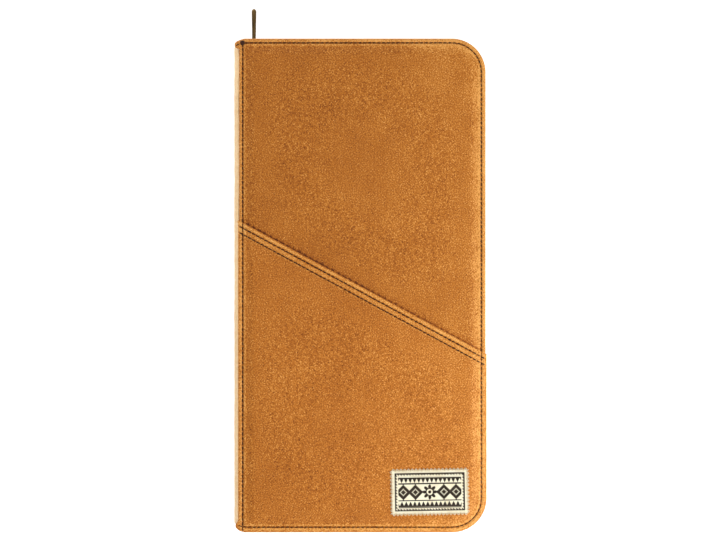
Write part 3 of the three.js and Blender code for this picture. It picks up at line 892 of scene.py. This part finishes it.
def foam_material(name):
    """Soft foam: small open cells, a little yellowed in patches."""
    s = Shader(name)
    cells = s.add("TexVoronoi", {"Vector": s.place, "Scale": 900.0})
    slow = s.ramp(s.noise(50.0, 3.0), 0.3, 0.7)
    colour = s.mix(slow, linear(208, 204, 190), linear(228, 224, 212))
    return s.finish(colour, s.ramp(slow, 4.0, -1.0), s.bump((cells, "Distance"), 0.6, 0.4), Sheen_Weight=0.1)


def board_material(name):
    """Pressed board: fibres that lie mostly one way, in slow patches."""
    s = Shader(name)
    fibres = s.noise(1.0, 5.0, 0.7, s.stretch((240.0, 900.0, 500.0), 0.6))
    slow = s.ramp(s.noise(36.0, 3.0), 0.3, 0.7)
    colour = s.mix(slow, linear(132, 112, 84), linear(158, 138, 108))
    colour = s.mix(s.math("MULTIPLY", s.ramp(fibres, 0.5, 0.75), 0.5), colour, linear(104, 86, 62))
    return s.finish(colour, s.ramp(fibres, 2.0, -0.6), s.bump(fibres, 0.5, 0.2))


def label_material(name):
    """Woven label: cream ground and dark figure, both crossed by fine picks, a little soiled."""
    s = Shader(name)
    ink = s.ramp(s.attribute("ink"), 0.35, 0.65)
    picks = s.wave(700.0, "Y", 0.5)
    soil = s.ramp(s.noise(120.0, 4.0, 0.6), 0.4, 0.75)
    ground = s.mix(s.math("MULTIPLY", soil, 0.6), linear(244, 238, 212), linear(208, 190, 148))
    figure = s.mix(soil, linear(26, 18, 14), linear(48, 36, 27))
    colour = s.mix(ink, ground, figure)
    colour = s.mix(s.math("MULTIPLY", picks, 0.12), colour, linear(120, 100, 76))
    normal = s.bump(picks, 0.5, 0.12)
    return s.finish(colour, s.ramp(soil, 2.6, -1.4), normal, Sheen_Weight=0.05, Specular_IOR_Level=0.25)


tan = canvas_material("waxed_canvas", [linear(*c) for c in (
    (90, 41, 3), (142, 75, 15), (170, 98, 25), (194, 121, 41), (230, 165, 86))])
# The pocket's canvas is a shade lighter than the cover's: partly its own cloth, partly painted light for the
# brighter lower front.
pocket_tan_partly_lit = canvas_material("pocket_canvas", [linear(*c) for c in (
    (92, 43, 3), (146, 78, 15), (175, 101, 27), (199, 124, 44), (234, 170, 90))])
gusset_tan = canvas_material("gusset_canvas", [linear(*c) for c in (
    (84, 42, 6), (130, 72, 22), (158, 92, 34), (182, 114, 50), (224, 162, 92))], has_wear_and_shade=False)
# The spine's pale wheat colour is partly its own lighter cloth and partly painted sheen: the light glancing
# off the spine's curve is painted into its colour.
spine_pale_and_sheen = plain_cloth("spine_cloth", linear(212, 172, 116), linear(234, 198, 144), 0.9, 0.22)
plush = plush_material("plush_lining", linear(70, 48, 34), linear(106, 76, 54))
leaf_cloth = plush_material("leaf_cloth", linear(80, 56, 40), linear(118, 86, 62))
elastic = ribbed_material("elastic", linear(34, 26, 22), linear(62, 50, 42), 1.2, "Y")
tape_cloth = ribbed_material("zip_tape", linear(74, 46, 26), linear(112, 74, 44), 0.8, "Z", 0.15)
binding_cloth = plain_cloth("binding", linear(112, 66, 32), linear(146, 92, 50), 0.6, 0.15)
nylon = nylon_material("zip_coil", linear(58, 36, 22), linear(96, 66, 44))
thread = thread_material("waxed_thread", linear(40, 18, 8), linear(82, 42, 18), 0.25)
cream_thread = thread_material("label_thread", linear(206, 188, 150), linear(240, 228, 200), 0.3)
brass = brass_material("aged_brass")
foam = foam_material("foam")
board = board_material("board")
label_cloth = label_material("label_weave")


# ------------------------------------------------------------------ covers and pocket

front_canvas = build_cover("front_cover_canvas", canvas_top, 1, FRONT_INNER)
back_canvas = build_cover("back_cover_canvas", back_bottom, -1, BACK_INNER)
pocket = build_pocket()
finish_piece(front_canvas, tan, "front_half", ["front_canvas"])
finish_piece(back_canvas, tan, "back_half", ["back_canvas"])
finish_piece(pocket, pocket_tan_partly_lit, "front_half", ["front_pocket_panel"])

# ------------------------------------------------------------------ cover stitching

line_x = -HALF_WIDTH + STITCH_INSET
border_run = round_run(STITCH_INSET, -HALF_WIDTH - EAR_REACH + 0.7)
border_run[:, 1] -= np.sign(border_run[:, 1]) * ear_drop(border_run[:, 0])
at_head, on_cover = border_run[:, 1] > 0, border_run[:, 0] > -HALF_WIDTH - 1.2
border_run = border_run[at_head | on_cover]
border_paths = [
    border_run,
    np.array([(line_x, HALF_HEIGHT - STITCH_INSET), (line_x, -HALF_HEIGHT + 0.1)]),
]
hem_paths = []
for distance in HEM_ROWS:
    ends_x = np.array([-HALF_WIDTH + 0.5, HALF_WIDTH - 0.5])
    ends_y = mouth_spine_y + mouth_slope * (ends_x + HALF_WIDTH) - distance / mouth_cos
    hem_paths.append(np.stack([ends_x, ends_y], 1))


def raised(height, rise):
    """The same height function, raised by a fixed amount."""
    return lambda x, y: height(x, y) + rise


for name, paths, height, up, body in (
    ("front_border_stitches", border_paths, raised(front_top, 0.12), 1.0, "front_half"),
    ("back_border_stitches", border_paths, raised(back_bottom, 0.1), -1.0, "back_half"),
):
    finish_piece(stitches_on(name, paths, height, up), thread, body)


row = stitches_on("pocket_hem_stitches", hem_paths, raised(pocket_top, 0.2), radius=0.44)
finish_piece(row, thread, "front_half")


def bead(name, centre, radius, flat, rings=10, sides=16):
    """A melted knot: a squashed ball of rings with a dimple on top and a wavy rim."""
    t = np.linspace(-math.pi / 2, math.pi / 2, rings)[:, None]
    turn = (2 * math.pi * np.arange(sides) / sides)[None]
    rim = radius * (1 + 0.07 * np.sin(3 * turn + 0.5) + 0.05 * np.sin(5 * turn))
    r = np.cos(t) * rim
    z = flat * np.sin(t) * (1 - 0.75 * (np.sin(t) > 0) * (np.cos(t) < 0.75) * (0.75 - np.cos(t)))
    shell = np.stack(np.broadcast_arrays(
        centre[0] + r * np.cos(turn), centre[1] + r * np.sin(turn), centre[2] + z), -1)
    return new_piece(name, shell, grid_quads(rings, sides, close_cols=True))


knot_x, knot_y = line_x - 0.2, HALF_HEIGHT - STITCH_INSET + 0.1
knot_z = float(front_top(np.array(knot_x), np.array(knot_y))) + 0.6
knot = bead("thread_knot", (knot_x, knot_y, knot_z), 1.75, 0.85)
finish_piece(knot, thread, "front_half")

# ------------------------------------------------------------------ woven label

LABEL_TURN = math.radians(1.0)
label_mid = (label_low + label_high) / 2
LABEL_HALF = np.array([27.3, 15.8])
LABEL_TOOTH = 1.3
LABEL_STEP = 0.25


def label_frame(u, v):
    """Places of the label's own coordinates on the cover."""
    cos, sin = math.cos(LABEL_TURN), math.sin(LABEL_TURN)
    return label_mid[0] + u * cos - v * sin, label_mid[1] + u * sin + v * cos


def label_ink(u, v):
    """The woven figure: a border line with slanting strokes inside it, rows of saw teeth at the
    head and foot, and between them a star of eight petals with two stepped diamonds each side."""
    d = np.minimum(LABEL_HALF[0] - np.abs(u), LABEL_HALF[1] - np.abs(v))
    strokes = np.sin((u + v) * 2 * math.pi / 2.1) > -0.2
    rope = ((d > 2.1) & (d < 2.95)) | ((d > 2.1) & (d < 3.8) & strokes)
    high = np.abs(v)
    tooth = np.abs(((u / 3.1) % 1.0) - 0.5) * 2
    teeth = (high > 6.9) & (high < 10.7) & (tooth < (high - 6.5) / 3.4)
    rails = (np.abs(high - 6.1) < 0.42) | (np.abs(high - 11.2) < 0.25)
    r, turn = np.hypot(u, v * 1.02), np.arctan2(v, u)
    star = ((r < 2.0 + 3.5 * np.abs(np.cos(4 * turn)) ** 0.7) & (r > 2.2)) | (r < 1.2)
    figure = star
    for middle in (10.3, 19.0):
        step = np.round(np.abs(np.abs(u) - middle) / 0.75) * 0.75 + np.round(high / 0.75) * 0.75
        figure = figure | ((step < 5.5) & (step > 2.9)) | (step < 1.8)
    inner = (np.abs(u) < LABEL_HALF[0] - 4.6) & ((figure & (high < 5.8)) | teeth | rails)
    return (rope | (inner & (d > 3.9))).astype(float)


def build_label():
    """The patch as a grid over its own width and height, raised a little where the figure is
    woven, with its underside a flat copy and its rim closed round both."""
    us = np.arange(-LABEL_HALF[0], LABEL_HALF[0] + 0.01, LABEL_STEP)
    vs = np.arange(-LABEL_HALF[1], LABEL_HALF[1] + 0.01, LABEL_STEP)
    v, u = np.meshgrid(vs, us, indexing="ij")
    ink = label_ink(u, v)
    soft = (ink + np.roll(ink, 1, 0) + np.roll(ink, -1, 0) + np.roll(ink, 1, 1) + np.roll(ink, -1, 1)) / 5
    d = np.minimum(LABEL_HALF[0] - np.abs(u), LABEL_HALF[1] - np.abs(v))
    x, y = label_frame(u, v)
    base = pocket_top(x, y)
    puff = 0.12 * smooth(d, 1.5, 4) * (1 + ripple(3 * x, 3 * y))
    top = base + 0.45 + puff + 0.1 * soft - roll_drop(d, 0.35)
    both = np.concatenate([soft.ravel(), np.zeros(soft.size)])
    return patch_piece("woven_label", x, y, top, base - 0.1, {"ink": both})


finish_piece(build_label(), label_cloth, "front_half", ["front_label"])


def overcast_stitches():
    """Zigzag over the label's rim: each stitch crosses from inside the rim to just outside it."""
    u0, v0 = LABEL_HALF
    corners = np.array([(-u0, -v0), (u0, -v0), (u0, v0), (-u0, v0), (-u0, -v0)])
    starts, ends = [], []
    for a, b in zip(corners[:-1], corners[1:]):
        stops = walk(np.array([a, b]), 1.35)
        way = (b - a) / np.linalg.norm(b - a)
        inward = np.array([-way[1], way[0]])
        flip = (np.arange(len(stops) - 1) % 2 == 0)[:, None]
        inner, outer = stops + inward * 1.1, stops - inward * LABEL_TOOTH
        starts.append(np.where(flip, inner[:-1], outer[:-1]))
        ends.append(np.where(flip, outer[1:], inner[1:]))
    starts, ends = np.concatenate(starts), np.concatenate(ends)

    def place(uv):
        x, y = label_frame(uv[:, 0], uv[:, 1])
        inside = np.all(np.abs(uv) < LABEL_HALF, axis=1)
        return np.column_stack([x, y, pocket_top(x, y) + np.where(inside, 0.62, 0.3)])

    ups = np.tile([0.0, 0.0, 1.0], (len(starts), 1))
    return stitch_piece("label_overcast", place(starts), place(ends), ups, 0.37, rise=0.12, sides=5, rings=5)


finish_piece(overcast_stitches(), cream_thread, "front_half")

# ------------------------------------------------------------------ cloth spine

SPINE_CLOTH = 1.2
SPINE_BULGE = 2.9
SPINE_TUCK = 1.6
SPINE_LAP = 2.9
SPINE_RUN_ON = 2.6
HEM_THICKNESS = 0.12
LINING_DEPTH = 3.0
STIFFENER_DEPTH = 1.3
HINGE_HEIGHT = 4.5
BLEND_RUN = 7
spine_middle_x = spine_low[0]
chord_half = (spine_high[2] - spine_low[2]) / 2
spine_radius = (chord_half ** 2 + SPINE_BULGE ** 2) / (2 * SPINE_BULGE)
spine_centre_x = spine_middle_x + spine_radius


def spine_strip(name, low, high, inset, thickness, half_length, tuck, wave, steps=12):
    """A bulged strip of cloth between two heights: an arc of the spine's radius across, straight
    along, puckered a little, its ends drawn in, with an inner face one thickness behind. The outer
    cloth runs on over the covers' edges, and is thin there."""
    ys = np.linspace(-half_length, half_length, int(half_length) + 1)
    t = np.concatenate([[0], np.linspace(0.012, 0.988, steps), [1]])
    z = low + (high - low) * t
    reach = np.clip((z - ZIP_MIDDLE) / spine_radius, -1, 1)
    arc_x = spine_centre_x - (spine_radius - inset) * np.sqrt(1 - reach ** 2)
    if inset == 0:
        arc_x = np.minimum(arc_x, -HALF_WIDTH + 0.05)
    thickness = np.where(np.abs(z - ZIP_MIDDLE) < chord_half, thickness, HEM_THICKNESS)
    y, arc_x = np.broadcast_arrays(ys[:, None], arc_x[None])
    z = np.broadcast_to(z[None], y.shape)
    end = smooth(half_length - np.abs(y), 0, tuck)
    pucker = wave * (ripple(0 * y + 5, 5 * y, 0.4) + 0.5 * np.sin(y / 1.7 + 0.6 * np.sin(y / 9)))
    outer = arc_x + (1 - end) * 1.5 + pucker
    inner = outer + thickness
    zin = ZIP_MIDDLE + (z - ZIP_MIDDLE) * 0.995
    ring = np.concatenate([np.stack([outer, y, z], -1), np.stack([inner, y, zin], -1)[:, ::-1]], 1)
    caps = ring.mean(1)[:, None] + np.zeros_like(ring)
    points = np.concatenate([caps[:1], ring, caps[-1:]])
    return new_piece(name, points, grid_quads(len(points), ring.shape[1], close_cols=True))


spine_half = spine_high[1] + SPINE_RUN_ON
hinge_back = HINGE_HEIGHT
hinge_front = CASE_TOP - HINGE_HEIGHT
over_back = ("back_half", "spine", hinge_back, hinge_back + BLEND_RUN)
over_front = ("spine", "front_half", hinge_front - BLEND_RUN, hinge_front)
for name, low, high, first, second, start, end in (
    ("spine_cloth_back", BACK_INNER - SPINE_LAP, ZIP_MIDDLE, *over_back),
    ("spine_cloth_front", ZIP_MIDDLE, FRONT_INNER + SPINE_LAP, *over_front),
):
    strip = spine_strip(name, low, high, 0.0, SPINE_CLOTH, spine_half, SPINE_TUCK, 0.13, 20)
    finish_piece(strip, spine_pale_and_sheen, replaces=["spine_canvas"])
    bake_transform(strip)

for name, low, high, first, second, start, end in (
    ("spine_lining_back", BACK_INNER + 0.5, ZIP_MIDDLE, *over_back),
    ("spine_lining_front", ZIP_MIDDLE, FRONT_INNER - 0.5, *over_front),
):
    strip = spine_strip(name, low, high, LINING_DEPTH, 0.8, lining_high[1], 3.0, 0.05)
    finish_piece(strip, plush, replaces=["spine_lining"])
    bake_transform(strip)

stiffener = spine_strip(
    "spine_stiffener", board_low[2] + 0.3, board_high[2] - 0.3,
    STIFFENER_DEPTH, 0.6, board_high[1] - 10, 0.1, 0.0)
finish_piece(stiffener, board, "spine", ["spine_board"])

# ------------------------------------------------------------------ gussets, tapes and coils

GUSSET_INSET = 5.4
TAPE_INSET = 6.7
COIL_INSET = 7.0
ZIP_START = gusset_low[0]
COIL_START = coil_low[0]
TURN_PITCH = 1.5
WIRE = 0.36
COIL_HALF_DEPTH = 1.1
COIL_HALF_HEIGHT = 1.4


def mirrored(height):
    """The same height measured from the zip's middle, on the other side of it."""
    return 2 * ZIP_MIDDLE - height


def upright_stitches(name, inset, height, start_x, side, radius, pitch):
    """Stitches round an upright wall, standing out from it, at one height."""
    stops = walk(round_run(inset, start_x), pitch)
    way = unit(stops[1:] - stops[:-1])
    middle = (stops[1:] + stops[:-1]) / 2
    outward = np.column_stack([left_of(way), np.zeros(len(way))])
    rise = np.full(len(middle), height)
    half = np.column_stack([way * pitch * 0.44, np.full(len(way), 0.1 * side)])
    centre = np.column_stack([middle, rise])
    return stitch_piece(name, centre - half, centre + half, outward, radius, rise=0.15, sides=5, rings=5)


def coil_piece(name, middle_z, phase):
    """One side of the zip's coil: a wire that turns once each pitch round a flattened loop, along
    the head, the fore edge and the foot."""
    path = round_run(COIL_INSET, COIL_START, 1.0)
    run = run_along(path)
    turns = int(run[-1] / TURN_PITCH)
    s = np.linspace(0, run[-1], turns * 8 + 1)
    x, y = np.interp(s, run, path[:, 0]), np.interp(s, run, path[:, 1])
    outward = left_of(unit(np.gradient(np.stack([x, y], 1), axis=0)))
    angle = 2 * math.pi * (s / run[-1] * turns + phase)
    out = (COIL_HALF_DEPTH - WIRE) * np.cos(angle)
    up = (COIL_HALF_HEIGHT - WIRE) * np.sin(angle)
    wire_middle = np.column_stack([np.stack([x, y], 1) + outward * out[:, None], middle_z + up])
    tangent = unit(np.gradient(wire_middle, axis=0))
    radial = wire_middle - np.column_stack([x, y, np.full(len(x), middle_z)])
    radial = unit(radial - tangent * np.sum(radial * tangent, axis=1)[:, None])
    other = np.cross(tangent, radial)
    sides = 5
    turn = 2 * math.pi * np.arange(sides) / sides
    ring = radial[:, None] * np.cos(turn)[None, :, None] + other[:, None] * np.sin(turn)[None, :, None]
    tube = wire_middle[:, None] + WIRE * ring
    first, last = (np.broadcast_to(wire_middle[k], tube[:1].shape) for k in (0, -1))
    tube = np.concatenate([first, tube, last])
    return new_piece(name, tube, grid_quads(len(tube), sides, close_cols=True))


gusset_top, tape_bottom, tape_top = gusset_high[2], tape_low[2], tape_high[2]
coil_middle = (coil_low[2] + coil_high[2]) / 2
for half, place, side, phase in (("back", lambda z: z, 1, 0.0), ("front", mirrored, -1, 0.5)):
    body = half + "_half"
    gusset = swept_strip(half + "_gusset_cloth", slab_profile(
        GUSSET_INSET, 1.0, place(gusset_low[2] - 0.5), place(gusset_top), 0.35), ZIP_START)
    finish_piece(gusset, gusset_tan, body, [half + "_gusset"])
    tape = swept_strip(half + "_zip_tape_cloth", slab_profile(
        TAPE_INSET, 0.6, place(tape_bottom), place(tape_top), 0.0, 6), ZIP_START)
    finish_piece(tape, tape_cloth, body, [half + "_zip_tape"])
    coil = coil_piece(half + "_zip_coil_wire", place(coil_middle) + 0.12 * side, phase)
    finish_piece(coil, nylon, body, [half + "_zip_coil"])
    for name, inset, height, start_x, radius, pitch in (
        ("_gusset_stitches", GUSSET_INSET - 0.05, gusset_top - 1.6, ZIP_START + 1, 0.3, 3.0),
        ("_coil_stitches", TAPE_INSET - 0.02, tape_top - 1.4, COIL_START, 0.18, 1.5),
    ):
        row = upright_stitches(half + name, inset, place(height), start_x, side, radius, pitch)
        finish_piece(row, thread, body)


# ------------------------------------------------------------------ metalwork

def merged_copy(node, name, bevel, segments=3):
    """A copy of a CAD node with its vertices merged and its edges rounded."""
    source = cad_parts[node]
    copy = bpy.data.objects.new(name, source.data.copy())
    bpy.context.scene.collection.objects.link(copy)
    tidy = bmesh.new()
    tidy.from_mesh(copy.data)
    bmesh.ops.remove_doubles(tidy, verts=tidy.verts, dist=WELD)
    bmesh.ops.dissolve_limit(tidy, angle_limit=math.radians(1), verts=tidy.verts, edges=tidy.edges)
    bmesh.ops.recalc_face_normals(tidy, faces=tidy.faces)
    tidy.to_mesh(copy.data)
    tidy.free()
    copy.data.polygons.foreach_set("use_smooth", np.ones(len(copy.data.polygons), bool))
    rounding = copy.modifiers.new("rounding", "BEVEL")
    rounding.width = bevel * MM
    rounding.segments = segments
    rounding.limit_method = "ANGLE"
    rounding.angle_limit = math.radians(35)
    rounding.harden_normals = False
    return copy


PULL_WIDER = 1.38
PULL_LONGER = 0.7


def drawn_tip(piece, reach):
    """Widens the pull's free part and draws it out a little, then rounds its far end as a quarter
    of an ellipse over the last stretch."""
    mesh = piece.data
    co = np.zeros(len(mesh.vertices) * 3, np.float32)
    mesh.vertices.foreach_get("co", co)
    co = co.reshape(-1, 3)
    middle = (co[:, 0].min() + co[:, 0].max()) / 2
    free = smooth(co[:, 1] / MM, HALF_HEIGHT - 1.0, HALF_HEIGHT + 3.0)
    along = np.clip((co[:, 1] - co[:, 1].max()) / (reach * MM) + 1, 0, 1)
    round_end = np.maximum(np.sqrt(1 - along ** 2), 0.3)
    co[:, 0] = middle + (co[:, 0] - middle) * round_end * (1 + (PULL_WIDER - 1) * free)
    co[:, 1] += PULL_LONGER * MM * free
    mesh.vertices.foreach_set("co", co.ravel())
    mesh.update()


for node, name, body, bevel in (
    ("zip_slider_body", "slider_brass", "zip_slider", 0.35),
    ("zip_pull_tab", "pull_brass", "zip_pull", 0.38),
):
    metal = merged_copy(node, name, bevel)
    if body == "zip_pull":
        drawn_tip(metal, 2.2)
    finish_piece(metal, brass, body, [node])

for half in ("back", "front"):
    for end in ("head", "foot"):
        node = half + "_zip_stop_" + end
        stop = merged_copy(node, node + "_brass", 0.2, 2)
        finish_piece(stop, brass, half + "_half", [node])

# ------------------------------------------------------------------ pen loops

LOOP_COUNT = 10
ELASTIC_THICKNESS = 0.78


def loop_band(name, low, high, side):
    """An elastic band as ten arches between sewn-down places: the height across is a rounded
    arch, its two edges curl in a little, and the underside follows one thickness below."""
    xs = np.linspace(low[0], high[0], LOOP_COUNT * 14 + 1)
    ys = np.linspace(low[1], high[1], 11)
    y, x = np.meshgrid(ys, xs, indexing="ij")
    base = low[2] if side > 0 else high[2]
    span = (high[0] - low[0]) / LOOP_COUNT
    share = ((x - low[0]) / span) % 1.0
    arch = np.clip(np.sin(math.pi * share), 0, 1) ** 0.75
    arch[:, -1] = 0
    across = np.abs(2 * (y - ys.mean()) / (ys[-1] - ys[0]))
    rise = (high[2] - low[2] - 0.8) * arch * (1 - 0.1 * across ** 3)
    waist = 1 - 0.03 * arch
    y = ys.mean() + (y - ys.mean()) * waist
    lower = base + side * (rise + 0.02)
    return patch_piece(name, x, y, lower + side * ELASTIC_THICKNESS, lower)


def band_stitches(name, low, high, side):
    """Bars of stitches where the band is sewn down, one row along each join between arches."""
    base = low[2] if side > 0 else high[2]
    span = (high[0] - low[0]) / LOOP_COUNT
    starts, ends = [], []
    for k in range(LOOP_COUNT + 1):
        x = np.clip(low[0] + k * span, low[0] + 0.7, high[0] - 0.7)
        stops = np.linspace(low[1] + 1.0, high[1] - 1.0, 7)
        starts += [(x, a + 0.25, base + side * 0.9) for a in stops[:-1]]
        ends += [(x, b - 0.25, base + side * 0.9) for b in stops[1:]]
    ups = np.tile([0.0, 0.0, float(side)], (len(starts), 1))
    return stitch_piece(name, starts, ends, ups, 0.3, rise=0.2, sides=5, rings=5)


for half, side in (("back", 1), ("front", -1)):
    for number in range(1, 5):
        node = "{}_loop_band_{}".format(half, number)
        low, high = box_mm(node)
        body = half + "_half"
        finish_piece(loop_band(node + "_elastic", low, high, side), elastic, body, [node])
        finish_piece(band_stitches(node + "_stitches", low, high, side), thread, body)

# ------------------------------------------------------------------ leaf

LEAF_FORE = 12.0
SMALL_CORNER = 2.0


def leaf_outline(inset, step=1.8):
    """The leaf's outline: small corners at its hinge side, round ones at its free side."""
    return cover_outline(inset, step, leaf_low[0], leaf_high[0], leaf_high[1], LEAF_FORE, SMALL_CORNER)


def soft_pad(name, outline, face, inner, side, swell, seam):
    """A thin pad on one side of a board: flat along its edge, grooved at its seam, if any, and
    swelling a little inside it."""
    low, high = outline.min(0), outline.max(0)
    heart = heart_line(outline, (low[0] + high[0]) / 2, low[1] + 80, high[1] - 80)
    xy = ring_layout(outline, heart, (0.0, 0.1, 0.3, 0.6), RAY_RINGS, 16)
    x, y = xy[..., 0], xy[..., 1]
    d = np.minimum(np.minimum(x - low[0], high[0] - x), np.minimum(y - low[1], high[1] - y))
    rise = swell * smooth(d, 3.2, 12) * (1 + 0.15 * ripple(x, y, 1.0))
    z = face + side * (rise - seam * bell(d, 3.0, 0.7) - roll_drop(np.maximum(d, 0), 0.3))
    edge = side_rings(outline, [(-0.05, (face + inner) / 2), (0.1, inner)])
    lower = ring_layout(outline, heart, (0.6,), (1.0,), 4)
    return plate_piece(name, xy, z, edge, lower, np.full(lower.shape[:2], inner))


for name, node, face, inner, side in (
    ("leaf_pad_back", "leaf_skin_back", leaf_low[2], leaf_high[2], -1),
    ("leaf_pad_front", "leaf_skin_front", leaf_front_high[2], leaf_front_low[2], 1),
):
    pad = soft_pad(name, leaf_outline(0.0), face, inner, side, 0.5, 0.3)
    finish_piece(pad, leaf_cloth, "leaf", [node])


def leaf_binding():
    """A folded tape over the leaf's edge: a rounded section carried round the outline."""
    outline = leaf_outline(0.0)
    normals = outline_normals(outline)
    low, high = leaf_low[2] - 0.25, leaf_front_high[2] + 0.25
    t = np.linspace(0, math.pi, 9)
    middle, half = (low + high) / 2, (high - low) / 2
    outer = np.stack([0.4 - 0.9 * np.sin(t), middle - half * np.cos(t)], 1)
    fold = [(4.2, high - 0.3), (4.0, high - 0.75), (0.5, middle), (4.0, low + 0.75)]
    section = np.concatenate([[(4.2, low + 0.3)], outer, fold])
    xy = outline[None] + normals[None] * section[:, :1, None]
    z = np.broadcast_to(section[:, 1:2], xy.shape[:2])
    rings = np.dstack([xy, z])
    return new_piece("leaf_binding", rings, grid_quads(len(section), len(outline), True, True))


def level_at(height):
    """A flat face as a height function."""
    return lambda x, y: np.full(len(x), height)


finish_piece(leaf_binding(), binding_cloth, "leaf")
leaf_seam = leaf_outline(3.2)
leaf_seam = np.concatenate([leaf_seam, leaf_seam[:1]])
for name, face, up in (
    ("leaf_stitches_back", leaf_low[2] - 0.3, -1.0),
    ("leaf_stitches_front", leaf_front_high[2] + 0.3, 1.0),
):
    row = stitches_on(
        name, [leaf_seam], level_at(face), up, pitch=3.0, length=2.6, radius=0.26, sides=5, rings=5)
    finish_piece(row, thread, "leaf")

# ------------------------------------------------------------------ linings and spine ends

LINING_INSET = 7.6
lining_outline = cover_outline(
    0.0, 1.8, -HALF_WIDTH + 1.5, HALF_WIDTH - LINING_INSET, HALF_HEIGHT - LINING_INSET,
    FORE_RADIUS - LINING_INSET, SMALL_CORNER)
for half, face, side in (("back", BACK_INNER, 1), ("front", FRONT_INNER, -1)):
    lining = soft_pad(half + "_plush_lining", lining_outline, face, face - 0.8 * side, side, 0.12, 0.0)
    finish_piece(lining, plush, half + "_half", [half + "_lining"])


def spine_end(name, y, thickness=0.8):
    """The web that closes an end of the spine: a slice between the lining's arc and its chord."""
    z = np.linspace(lining_low[2] + 2.2, lining_high[2] - 2.2, 17)
    arc_x = spine_centre_x - (spine_radius - 3.6) * np.sqrt(1 - ((z - ZIP_MIDDLE) / spine_radius) ** 2)
    chord = np.full_like(z, lining_high[0] - 0.1)
    face = np.stack([np.concatenate([arc_x, chord[::-1]]), np.concatenate([z, z[::-1]])], 1)
    centre = np.array([face[:, 0].mean(), ZIP_MIDDLE])
    rings = []
    for share, depth in ((0.0, 0.0), (0.9, 0.0), (1.0, 0.15), (1.0, 0.85), (0.9, 1.0), (0.0, 1.0)):
        ring = centre + (face - centre) * share
        place = np.full(len(ring), y + (depth - 0.5) * thickness)
        rings.append(np.column_stack([ring[:, 0], place, ring[:, 1]]))
    return new_piece(name, np.stack(rings), grid_quads(len(rings), len(face), close_cols=True))


for end, sign in (("head", 1), ("foot", -1)):
    web = spine_end("spine_web_" + end, sign * (lining_high[1] - 1.0))
    finish_piece(web, gusset_tan, "spine")

# ------------------------------------------------------------------ finish of the CAD's own pieces

for node, material in (
    ("back_foam", foam), ("front_foam", foam), ("back_board", board), ("front_board", board),
    ("leaf_core", board), ("leaf_hinge_strip", binding_cloth),
):
    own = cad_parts[node].data
    own.materials.clear()
    own.materials.append(material)

# ------------------------------------------------------------------ floor, light and camera

floor_mesh = bpy.data.meshes.new("floor")
floor_mesh.from_pydata([(-30, -30, 0), (30, -30, 0), (30, 30, 0), (-30, 30, 0)], [], [(0, 1, 2, 3)])
floor = bpy.data.objects.new("floor", floor_mesh)
floor.location = (0, 0, -0.0006)
bpy.context.scene.collection.objects.link(floor)
backdrop = Shader("backdrop")
floor_mesh.materials.append(backdrop.finish((0.93, 0.93, 0.93, 1.0), 0.9, Emission_Strength=0.6))

world = bpy.data.worlds.new("studio")
bpy.context.scene.world = world
world.use_nodes = True
world.node_tree.nodes["Background"].inputs["Color"].default_value = (1.0, 1.0, 1.0, 1.0)
world.node_tree.nodes["Background"].inputs["Strength"].default_value = 0.5


def soft_light(name, place, size, watts, colour=(1.0, 1.0, 1.0)):
    """A square area light at a place, in metres, facing the case."""
    data = bpy.data.lights.new(name, "AREA")
    data.shape = "SQUARE"
    data.size = size
    data.energy = watts
    data.color = colour
    lamp = bpy.data.objects.new(name, data)
    lamp.location = place
    x, y, z = place
    lamp.rotation_euler = (math.atan2(math.hypot(x, y), z), 0, math.atan2(y, x) + math.pi / 2)
    bpy.context.scene.collection.objects.link(lamp)
    return lamp


soft_light("key_light", (0.58, -0.4, 0.52), 0.36, 6.6, (1.0, 0.98, 0.95))
soft_light("fill_light", (-0.9, 1.3, 0.75), 1.0, 12.5)

VIEW_WIDTH = 518.4
VIEW_MIDDLE = (-1.44, 10.8)
CAMERA_HEIGHT = 4.0
SENSOR_WIDTH = 36.0
camera_data = bpy.data.cameras.new("camera")
camera_data.sensor_width = SENSOR_WIDTH
camera_data.lens = SENSOR_WIDTH * CAMERA_HEIGHT / (VIEW_WIDTH * MM)
camera_data.clip_end = 50.0
camera = bpy.data.objects.new("camera", camera_data)
camera.location = (VIEW_MIDDLE[0] * MM, VIEW_MIDDLE[1] * MM, CASE_TOP * MM + CAMERA_HEIGHT)
bpy.context.scene.collection.objects.link(camera)
bpy.context.scene.camera = camera
bpy.context.scene.view_settings.view_transform = "Standard"
